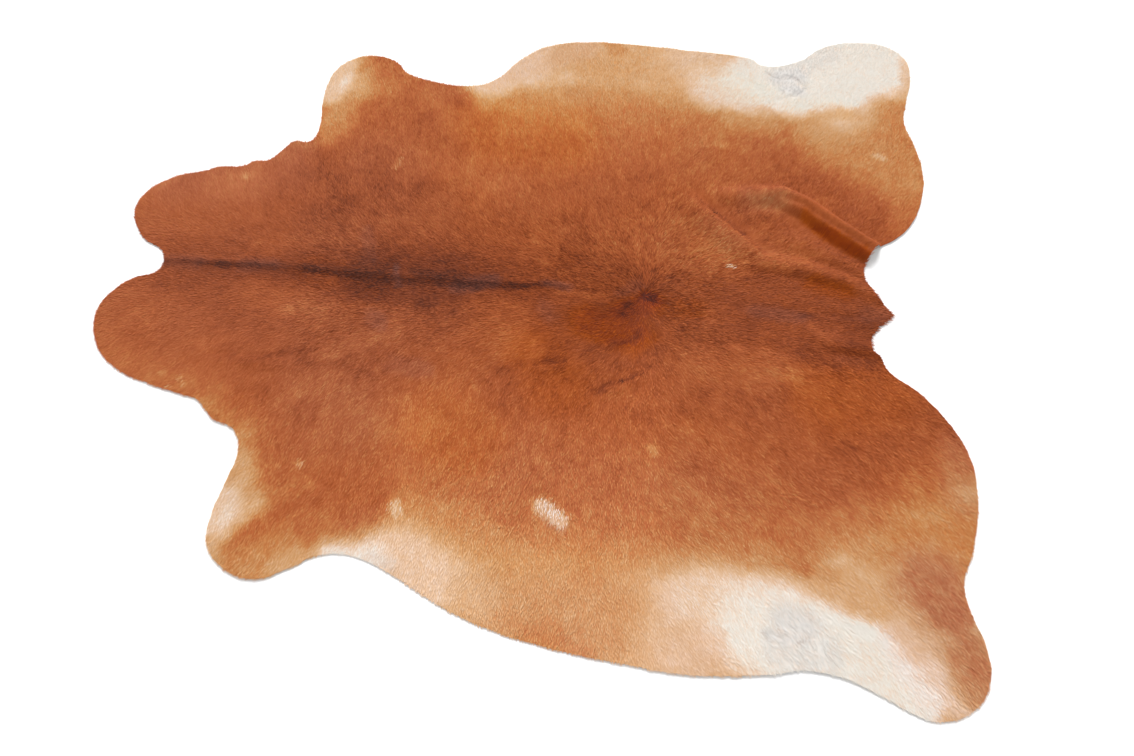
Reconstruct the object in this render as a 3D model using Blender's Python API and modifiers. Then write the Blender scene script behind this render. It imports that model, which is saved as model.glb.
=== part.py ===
"""Hair-on cattle hide, one piece, lying flat on a floor.

The hide is a single sheet of leather with its short coat on it, cut in the
usual outline of a hide rug: two cheeks at the neck, two forelegs, the belly,
two hind legs and the root of the tail.  The spine runs along X, with the neck
at -X and the tail at +X.  +Y is the far flank and -Y is the near flank.  The
underside lies flat on Z = 0 except below the folds, where it rises with them.
"""
import math
from collections import namedtuple

import bmesh
import bpy
from mathutils import Vector
from mathutils.geometry import delaunay_2d_cdt, intersect_point_line

# Driving dimensions, in metres.
LEATHER_THICKNESS = 0.0025
COAT_DEPTH = 0.0040
SHEET_THICKNESS = LEATHER_THICKNESS + COAT_DEPTH

# How finely the sheet is divided, in metres.
RUNS_PER_PLACE = 4
FLAT_SPACING = 0.075
FLAT_CLEARANCE = 0.042
EDGE_MARGIN = 0.032
FOLD_SPACING = 0.028
FOLD_CLEARANCE = 0.013
MERGE_DISTANCE = 1e-6

COLLECTION_NAME = "cattle_hide"
HIDE_NAME = "hide"
COAT_COLOUR = (0.42, 0.15, 0.055, 1.0)
COAT_ROUGHNESS = 0.6

# The cut edge, from the neck to the tail.  Each row is one place on the
# outline and gives it for both flanks: how far it lies along the spine, and
# how far out from the spine it is.
Place = namedtuple("Place", "name far_along far_out near_along near_out")
NECK_NOTCH = (-0.992, -0.004)
HIDE_EDGE = (
    Place("neck corner",        -1.008, 0.028, -0.999, 0.040),
    Place("cheek front",        -1.060, 0.058, -1.052, 0.065),
    Place("cheek bulge",        -1.100, 0.105, -1.096, 0.110),
    Place("cheek tip",          -1.119, 0.170, -1.119, 0.168),
    Place("cheek side",         -1.100, 0.228, -1.108, 0.235),
    Place("cheek back",         -1.042, 0.280, -1.062, 0.306),
    Place("throat front",       -0.958, 0.312, -0.990, 0.352),
    Place("throat",             -0.930, 0.328, -0.900, 0.380),
    Place("throat back",        -0.858, 0.339, -0.835, 0.397),
    Place("brisket front",      -0.832, 0.358, -0.792, 0.409),
    Place("brisket",            -0.798, 0.364, -0.762, 0.436),
    Place("brisket back",       -0.757, 0.414, -0.738, 0.458),
    Place("foreleg corner",     -0.737, 0.443, -0.702, 0.469),
    Place("foreleg root",       -0.692, 0.448, -0.672, 0.492),
    Place("foreleg front",      -0.674, 0.510, -0.656, 0.545),
    Place("foreleg knee",       -0.684, 0.595, -0.667, 0.612),
    Place("foreleg shin",       -0.685, 0.680, -0.680, 0.700),
    Place("foreleg toe front",  -0.668, 0.748, -0.670, 0.770),
    Place("foreleg toe",        -0.625, 0.793, -0.618, 0.822),
    Place("foreleg tip",        -0.558, 0.813, -0.545, 0.838),
    Place("foreleg toe back",   -0.490, 0.790, -0.480, 0.812),
    Place("foreleg back",       -0.452, 0.750, -0.420, 0.775),
    Place("armpit",             -0.372, 0.723, -0.350, 0.766),
    Place("belly front",        -0.262, 0.713, -0.262, 0.795),
    Place("belly swell",        -0.190, 0.738, -0.135, 0.860),
    Place("belly rise",         -0.105, 0.846, -0.010, 0.907),
    Place("belly shoulder",     -0.035, 0.903,  0.140, 0.940),
    Place("belly middle",        0.080, 0.936,  0.300, 0.960),
    Place("belly",               0.240, 0.941,  0.430, 0.971),
    Place("belly back",          0.440, 0.932,  0.600, 0.957),
    Place("flank",               0.592, 0.919,  0.690, 0.942),
    Place("flank corner",        0.618, 0.912,  0.724, 0.943),
    Place("flank step",          0.638, 0.893,  0.757, 0.948),
    Place("flank hollow",        0.690, 0.890,  0.790, 0.957),
    Place("hind leg root",       0.770, 0.924,  0.860, 0.989),
    Place("hind leg heel",       0.850, 0.992,  0.905, 1.010),
    Place("hind leg tip",        0.965, 1.022,  0.965, 1.025),
    Place("hind leg toe",        1.055, 1.008,  1.040, 1.000),
    Place("hind leg corner",     1.100, 0.960,  1.083, 0.945),
    Place("hind leg side",       1.108, 0.880,  1.091, 0.875),
    Place("hock",                1.080, 0.760,  1.063, 0.780),
    Place("hock hollow",         1.069, 0.690,  1.058, 0.725),
    Place("rump front",          1.088, 0.600,  1.090, 0.640),
    Place("rump",                1.103, 0.505,  1.121, 0.500),
    Place("rump back",           1.090, 0.400,  1.108, 0.380),
    Place("buttock",             1.055, 0.312,  1.066, 0.300),
    Place("buttock back",        1.003, 0.249,  1.008, 0.234),
    Place("tail head",           0.949, 0.212,  0.942, 0.183),
    Place("tail bay front",      0.912, 0.165,  0.918, 0.138),
    Place("tail bay",            0.899, 0.110,  0.901, 0.122),
    Place("tail root",           0.921, 0.060,  0.907, 0.076),
)
TAIL_TIP = (0.968, -0.006)

# The folds.  Each row is one section across a fold, at a point of its crest:
# the crest's place along and across the hide, its height above the flat
# hide, and how wide the slopes are on its far side and on its near side.
Section = namedtuple("Section", "along across height far_slope near_slope")
FOLDS = {
    "hind fold": (
        Section(0.455, 0.352, 0.000, 0.040, 0.050),
        Section(0.590, 0.368, 0.012, 0.036, 0.056),
        Section(0.690, 0.380, 0.024, 0.030, 0.054),
        Section(0.755, 0.345, 0.031, 0.027, 0.052),
        Section(0.850, 0.264, 0.033, 0.027, 0.052),
        Section(0.960, 0.182, 0.031, 0.027, 0.052),
    ),
    "hind fold ledge": (
        Section(0.670, 0.358, 0.013, 0.040, 0.034),
        Section(0.736, 0.318, 0.024, 0.042, 0.026),
        Section(0.831, 0.239, 0.027, 0.044, 0.025),
        Section(0.941, 0.157, 0.027, 0.044, 0.026),
    ),
    "hind swell": (
        Section(0.650, 0.240, 0.000, 0.050, 0.060),
        Section(0.745, 0.205, 0.008, 0.040, 0.060),
        Section(0.830, 0.160, 0.010, 0.036, 0.050),
        Section(0.920, 0.105, 0.006, 0.036, 0.040),
    ),
    "flank fold": (
        Section(0.390, 0.355, 0.000, 0.030, 0.060),
        Section(0.470, 0.285, 0.009, 0.026, 0.070),
        Section(0.545, 0.215, 0.011, 0.026, 0.070),
        Section(0.615, 0.150, 0.006, 0.030, 0.060),
    ),
    "far tail fold": (
        Section(0.560, 0.120, 0.000, 0.040, 0.035),
        Section(0.640, 0.132, 0.010, 0.045, 0.040),
        Section(0.740, 0.118, 0.014, 0.045, 0.042),
        Section(0.840, 0.090, 0.013, 0.040, 0.040),
        Section(0.930, 0.050, 0.007, 0.036, 0.036),
    ),
    "near tail fold": (
        Section(0.690, -0.050, 0.000, 0.040, 0.036),
        Section(0.785, -0.102, 0.007, 0.040, 0.036),
        Section(0.860, -0.120, 0.009, 0.036, 0.034),
        Section(0.930, -0.130, 0.006, 0.034, 0.034),
    ),
    "loin crease": (
        Section(0.165, -0.318, 0.000, 0.026, 0.036),
        Section(0.250, -0.282, 0.006, 0.024, 0.036),
        Section(0.345, -0.222, 0.000, 0.026, 0.036),
    ),
    "rib crease": (
        Section(0.010, -0.250, 0.000, 0.026, 0.036),
        Section(0.100, -0.238, 0.005, 0.026, 0.036),
        Section(0.170, -0.232, 0.000, 0.026, 0.036),
    ),
    "neck crease": (
        Section(-0.830, -0.300, 0.000, 0.030, 0.034),
        Section(-0.680, -0.290, 0.005, 0.030, 0.034),
        Section(-0.520, -0.296, 0.000, 0.030, 0.034),
    ),
}

# Where points lie across a fold: below 0 in shares of its far slope, above 0
# in shares of its near slope.
SLOPE_SHARES = (-1.0, -0.5, 0.0, 0.3, 0.6, 1.0)
# The share of the near slope, next to the crest, that stays level.
CREST_SHARE = 0.12
# The kind of filling that keeps only the triangles inside the outline.
FILL_INSIDE = 1


def clear_scene():
    """Remove every object, so that the file holds only the hide."""
    for old in list(bpy.data.objects):
        bpy.data.objects.remove(old, do_unlink=True)


def smooth_step(share):
    """Rise from 0 to 1 with level ends."""
    share = min(max(share, 0.0), 1.0)
    return share * share * (3.0 - 2.0 * share)


def edge_places():
    """List the outline's places in turn, from the neck notch clockwise."""
    far = [(place.far_along, place.far_out) for place in HIDE_EDGE]
    near = [(place.near_along, -place.near_out) for place in HIDE_EDGE]
    return [NECK_NOTCH] + far + [TAIL_TIP] + near[::-1]


def edge_curve():
    """Draw the outline as one smooth closed curve with a sharp tail tip."""
    places = edge_places()
    curve = bpy.data.curves.new("cut edge", "CURVE")
    curve.dimensions = "2D"
    curve.fill_mode = "NONE"
    curve.resolution_u = RUNS_PER_PLACE
    spline = curve.splines.new("BEZIER")
    spline.bezier_points.add(len(places) - 1)
    for knot, place in zip(spline.bezier_points, places):
        knot.co = (place[0], place[1], 0.0)
        handle = "VECTOR" if place == TAIL_TIP else "AUTO"
        knot.handle_left_type = handle
        knot.handle_right_type = handle
    spline.use_cyclic_u = True
    return curve


def cut_edge():
    """Return the points of the outline, in turn."""
    curve = edge_curve()
    holder = bpy.data.objects.new("cut edge", curve)
    bpy.context.scene.collection.objects.link(holder)
    bpy.context.view_layer.update()
    mesh = bpy.data.meshes.new_from_object(holder)
    points = [vertex.co.xy.copy() for vertex in mesh.vertices]
    bpy.data.objects.remove(holder, do_unlink=True)
    bpy.data.meshes.remove(mesh)
    bpy.data.curves.remove(curve)
    return points


def outline_centre(points):
    """Middle of the outline's box, which becomes the hide's origin."""
    along = [point.x for point in points]
    across = [point.y for point in points]
    return Vector((min(along) + max(along), min(across) + max(across))) / 2.0


def nearest_section(point, sections):
    """Find the part of a crest nearest a point, and the side it is on."""
    nearest = None
    for start, end in zip(sections, sections[1:]):
        first = Vector((start.along, start.across))
        last = Vector((end.along, end.across))
        _, share = intersect_point_line(point, first, last)
        share = min(max(share, 0.0), 1.0)
        offset = point - first.lerp(last, share)
        if nearest is None or offset.length < nearest[0]:
            run = last - first
            on_far_side = run.x * offset.y - run.y * offset.x > 0.0
            blend = Section(*(a + (b - a) * share for a, b in zip(start, end)))
            nearest = (offset.length, on_far_side, blend)
    return nearest


def lift(point):
    """Height of the hide's underside above the floor at a point."""
    height = 0.0
    for sections in FOLDS.values():
        distance, on_far_side, section = nearest_section(point, sections)
        if on_far_side:
            down = distance / section.far_slope
        else:
            down = (distance / section.near_slope - CREST_SHARE) / (1.0 - CREST_SHARE)
        height = max(height, section.height * (1.0 - smooth_step(down)))
    return height


def inside(point, ring):
    """Even-odd test of a point against the closed outline."""
    crossings = 0
    for start, end in zip(ring, ring[1:] + ring[:1]):
        if (start.y > point.y) != (end.y > point.y):
            share = (point.y - start.y) / (end.y - start.y)
            if point.x < start.x + share * (end.x - start.x):
                crossings += 1
    return crossings % 2 == 1


def clear_of(point, others, gap):
    """True when a point keeps the gap to every other point."""
    return all((point - other).length >= gap for other in others)


def fold_points():
    """Points on sections along each fold, closest on its steep slopes."""
    points = []
    for sections in FOLDS.values():
        for start, end in zip(sections, sections[1:]):
            first = Vector((start.along, start.across))
            last = Vector((end.along, end.across))
            run = (last - first).normalized()
            to_near_side = Vector((run.y, -run.x))
            steps = max(round((last - first).length / FOLD_SPACING), 1)
            for step in range(steps + 1):
                share = step / steps
                crest = first.lerp(last, share)
                blend = Section(*(a + (b - a) * share for a, b in zip(start, end)))
                for slope in SLOPE_SHARES:
                    width = blend.far_slope if slope < 0.0 else blend.near_slope
                    points.append(crest + to_near_side * slope * width)
    return points


def flat_points(ring):
    """Points of a triangular lattice over the hide's box."""
    row_gap = FLAT_SPACING * math.sqrt(3.0) / 2.0
    rows = int(max(abs(point.y) for point in ring) / row_gap) + 1
    columns = int(max(abs(point.x) for point in ring) / FLAT_SPACING) + 1
    points = []
    for row in range(-rows, rows + 1):
        shift = FLAT_SPACING / 2.0 if row % 2 else 0.0
        for column in range(-columns, columns + 1):
            points.append(Vector((column * FLAT_SPACING + shift, row * row_gap)))
    return points


def inner_points(ring):
    """Points inside the cut edge: close on the folds, wide on the flat."""
    kept = []
    for point in fold_points():
        if inside(point, ring) and clear_of(point, ring + kept, FOLD_CLEARANCE):
            kept.append(point)
    for point in flat_points(ring):
        if inside(point, ring) and clear_of(point, ring, EDGE_MARGIN):
            if clear_of(point, kept, FLAT_CLEARANCE):
                kept.append(point)
    return kept


def hide_material():
    """Red-brown coat of short hair."""
    material = bpy.data.materials.new("hair-on hide")
    material.use_nodes = True
    shader = material.node_tree.nodes["Principled BSDF"]
    shader.inputs["Base Color"].default_value = COAT_COLOUR
    shader.inputs["Roughness"].default_value = COAT_ROUGHNESS
    shader.inputs["Metallic"].default_value = 0.0
    return material


def hide_mesh():
    """Fill the outline with triangles that rise over the folds."""
    ring = cut_edge()
    centre = outline_centre(ring)
    rim = [(index, (index + 1) % len(ring)) for index in range(len(ring))]
    points = ring + inner_points(ring)
    filling = delaunay_2d_cdt(points, rim, [], FILL_INSIDE, MERGE_DISTANCE)
    spots, faces = filling[0], filling[2]
    sheet = bmesh.new()
    corners = []
    for spot in spots:
        place = spot - centre
        corners.append(sheet.verts.new((place.x, place.y, lift(spot))))
    for face in faces:
        sheet.faces.new([corners[index] for index in face])
    mesh = bpy.data.meshes.new(HIDE_NAME)
    sheet.to_mesh(mesh)
    sheet.free()
    return mesh


def make_hide():
    """Give the filled outline its thickness of leather and coat."""
    hide = bpy.data.objects.new(HIDE_NAME, hide_mesh())
    thickness = hide.modifiers.new("leather and coat", "SOLIDIFY")
    thickness.thickness = SHEET_THICKNESS
    thickness.offset = 1.0
    hide.data.materials.append(hide_material())
    return hide


def main():
    clear_scene()
    collection = bpy.data.collections.new(COLLECTION_NAME)
    bpy.context.scene.collection.children.link(collection)
    collection.objects.link(make_hide())


main()
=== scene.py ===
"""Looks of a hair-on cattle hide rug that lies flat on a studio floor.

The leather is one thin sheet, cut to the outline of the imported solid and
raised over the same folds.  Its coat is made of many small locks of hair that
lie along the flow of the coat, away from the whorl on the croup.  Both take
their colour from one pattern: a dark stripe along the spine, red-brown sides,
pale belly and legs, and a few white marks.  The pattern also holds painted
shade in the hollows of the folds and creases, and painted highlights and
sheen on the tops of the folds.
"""

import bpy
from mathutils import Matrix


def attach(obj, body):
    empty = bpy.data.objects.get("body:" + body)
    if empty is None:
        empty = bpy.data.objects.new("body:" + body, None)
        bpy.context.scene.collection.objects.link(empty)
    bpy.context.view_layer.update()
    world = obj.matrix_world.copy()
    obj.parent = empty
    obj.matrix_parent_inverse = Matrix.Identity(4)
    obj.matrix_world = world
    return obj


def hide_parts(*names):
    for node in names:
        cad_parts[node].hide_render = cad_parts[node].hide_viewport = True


bl_info = {
    "name": "Cattle hide rug",
    "version": (1, 0, 0),
    "blender": (4, 5, 0),
    "location": "3D View > Sidebar > Hide Rug",
    "description": "Makes the leather, the coat and the studio of a cattle hide rug",
    "category": "Object",
}

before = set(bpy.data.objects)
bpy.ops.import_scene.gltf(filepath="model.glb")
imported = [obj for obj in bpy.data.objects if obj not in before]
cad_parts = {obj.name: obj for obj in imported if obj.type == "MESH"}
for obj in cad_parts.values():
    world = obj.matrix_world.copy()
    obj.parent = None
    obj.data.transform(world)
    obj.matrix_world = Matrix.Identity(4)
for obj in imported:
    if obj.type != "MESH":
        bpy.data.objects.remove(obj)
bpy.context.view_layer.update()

import math
from collections import namedtuple
from functools import lru_cache

import bmesh
import bpy
import numpy as np
from mathutils import Vector
from mathutils.geometry import delaunay_2d_cdt
from mathutils.kdtree import KDTree

HIDE_NODE = "hide"
HIDE_BODY = "root"

# The area inside the outline of the hide's flat cut, in square metres.
FLAT_AREA = 3.38

# The middle of the outline's box, from the spine and the middle of the back.
# The folds, creases and marks below are placed from the spine, and the solid
# stands on the middle of its box.
SPINE_TO_CENTRE = (0.0008, -0.0016)

# ---------------------------------------------------------------------------
# Folds and creases, in metres
# ---------------------------------------------------------------------------

# One section across a fold, at a point of its crest: the crest's place along
# and across the hide, its height, and how wide the slopes are on its far side
# and on its near side.
Section = namedtuple("Section", "along across height far_slope near_slope")
FOLDS = {
    "hind fold": (
        Section(0.455, 0.352, 0.000, 0.040, 0.050),
        Section(0.590, 0.368, 0.012, 0.036, 0.056),
        Section(0.690, 0.380, 0.024, 0.030, 0.054),
        Section(0.755, 0.345, 0.031, 0.027, 0.052),
        Section(0.850, 0.264, 0.033, 0.027, 0.052),
        Section(0.960, 0.182, 0.031, 0.027, 0.052),
    ),
    "hind fold ledge": (
        Section(0.670, 0.358, 0.013, 0.040, 0.034),
        Section(0.736, 0.318, 0.024, 0.042, 0.026),
        Section(0.831, 0.239, 0.027, 0.044, 0.025),
        Section(0.941, 0.157, 0.027, 0.044, 0.026),
    ),
    "hind swell": (
        Section(0.650, 0.240, 0.000, 0.050, 0.060),
        Section(0.745, 0.205, 0.008, 0.040, 0.060),
        Section(0.830, 0.160, 0.010, 0.036, 0.050),
        Section(0.920, 0.105, 0.006, 0.036, 0.040),
    ),
    "flank fold": (
        Section(0.390, 0.355, 0.000, 0.030, 0.060),
        Section(0.470, 0.285, 0.009, 0.026, 0.070),
        Section(0.545, 0.215, 0.011, 0.026, 0.070),
        Section(0.615, 0.150, 0.006, 0.030, 0.060),
    ),
    "far tail fold": (
        Section(0.560, 0.120, 0.000, 0.040, 0.035),
        Section(0.640, 0.132, 0.010, 0.045, 0.040),
        Section(0.740, 0.118, 0.014, 0.045, 0.042),
        Section(0.840, 0.090, 0.013, 0.040, 0.040),
        Section(0.930, 0.050, 0.007, 0.036, 0.036),
    ),
    "near tail fold": (
        Section(0.690, -0.050, 0.000, 0.040, 0.036),
        Section(0.785, -0.102, 0.007, 0.040, 0.036),
        Section(0.860, -0.120, 0.009, 0.036, 0.034),
        Section(0.930, -0.130, 0.006, 0.034, 0.034),
    ),
    "loin crease": (
        Section(0.165, -0.318, 0.000, 0.026, 0.036),
        Section(0.250, -0.282, 0.006, 0.024, 0.036),
        Section(0.345, -0.222, 0.000, 0.026, 0.036),
    ),
    "rib crease": (
        Section(0.010, -0.250, 0.000, 0.026, 0.036),
        Section(0.100, -0.238, 0.005, 0.026, 0.036),
        Section(0.170, -0.232, 0.000, 0.026, 0.036),
    ),
    "neck crease": (
        Section(-0.830, -0.300, 0.000, 0.030, 0.034),
        Section(-0.680, -0.290, 0.005, 0.030, 0.034),
        Section(-0.520, -0.296, 0.000, 0.030, 0.034),
    ),
}
# The share of a near slope, next to the crest, that stays level.
CREST_SHARE = 0.12

# Finer creases: soft troughs (below 0) and ridges (above 0) from one place to
# another, with their half width and their depth or height.
Crease = namedtuple("Crease", "along across end_along end_across width rise")
CREASES = (
    Crease(-0.985, 0.000, -0.560, 0.002, 0.012, 0.0016),
    Crease(-0.560, 0.002, 0.080, 0.004, 0.014, 0.0022),
    Crease(0.435, 0.368, 0.500, 0.300, 0.008, -0.0030),
    Crease(0.500, 0.300, 0.570, 0.232, 0.007, -0.0055),
    Crease(0.570, 0.232, 0.640, 0.168, 0.008, -0.0045),
    Crease(0.195, -0.298, 0.335, -0.214, 0.006, -0.0030),
    Crease(0.030, -0.236, 0.105, -0.224, 0.007, -0.0020),
    Crease(0.195, -0.156, 0.300, -0.128, 0.008, -0.0022),
    Crease(-0.800, -0.277, -0.600, -0.272, 0.007, -0.0022),
    Crease(-0.450, -0.190, -0.330, -0.240, 0.008, -0.0016),
    Crease(0.400, 0.062, 0.470, 0.040, 0.010, -0.0018),
    Crease(0.540, 0.060, 0.580, 0.036, 0.008, -0.0024),
    Crease(0.560, -0.020, 0.700, -0.014, 0.010, -0.0018),
    Crease(0.700, -0.016, 0.760, -0.024, 0.010, -0.0030),
    Crease(0.760, -0.024, 0.900, -0.020, 0.010, -0.0022),
    Crease(0.420, -0.060, 0.560, -0.064, 0.012, -0.0016),
    Crease(0.520, -0.130, 0.700, -0.150, 0.012, -0.0018),
    Crease(0.700, -0.150, 0.900, -0.140, 0.012, -0.0022),
    Crease(0.480, -0.210, 0.620, -0.200, 0.012, 0.0014),
    Crease(0.700, -0.210, 0.850, -0.190, 0.014, 0.0016),
    Crease(0.660, 0.850, 0.700, 0.842, 0.006, -0.0024),
    Crease(0.700, 0.842, 0.760, 0.836, 0.006, -0.0030),
    Crease(0.760, 0.836, 0.776, 0.800, 0.006, -0.0030),
    Crease(0.776, 0.800, 0.750, 0.775, 0.006, -0.0024),
    Crease(0.750, 0.775, 0.695, 0.745, 0.006, -0.0018),
    Crease(0.600, -0.872, 0.660, -0.880, 0.005, -0.0020),
    Crease(0.630, -0.850, 0.700, -0.866, 0.005, -0.0016),
)

# A wave is smooth random values: the size over which they change, how far they
# rise and fall, and the seed that sets them apart from other waves.
Wave = namedtuple("Wave", "size rise seed")
# Gentle swells, so that the leather never lies quite flat.
SWELLS = (Wave(0.34, 0.0022, 11), Wave(0.13, 0.0012, 12), Wave(0.055, 0.0005, 13))

# ---------------------------------------------------------------------------
# The coat's pattern
# ---------------------------------------------------------------------------

# Tone runs from 0, the near-black stripe of the spine, over red-brown and
# tan, to 1, ivory.  It fades outwards: each pair is a distance from the spine
# and the tone there.
FLANK_FADE = (
    (0.00, 0.24), (0.08, 0.25), (0.18, 0.31), (0.33, 0.35), (0.45, 0.43),
    (0.58, 0.53), (0.66, 0.60), (0.72, 0.69), (0.85, 0.76), (1.03, 0.80),
)

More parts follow.
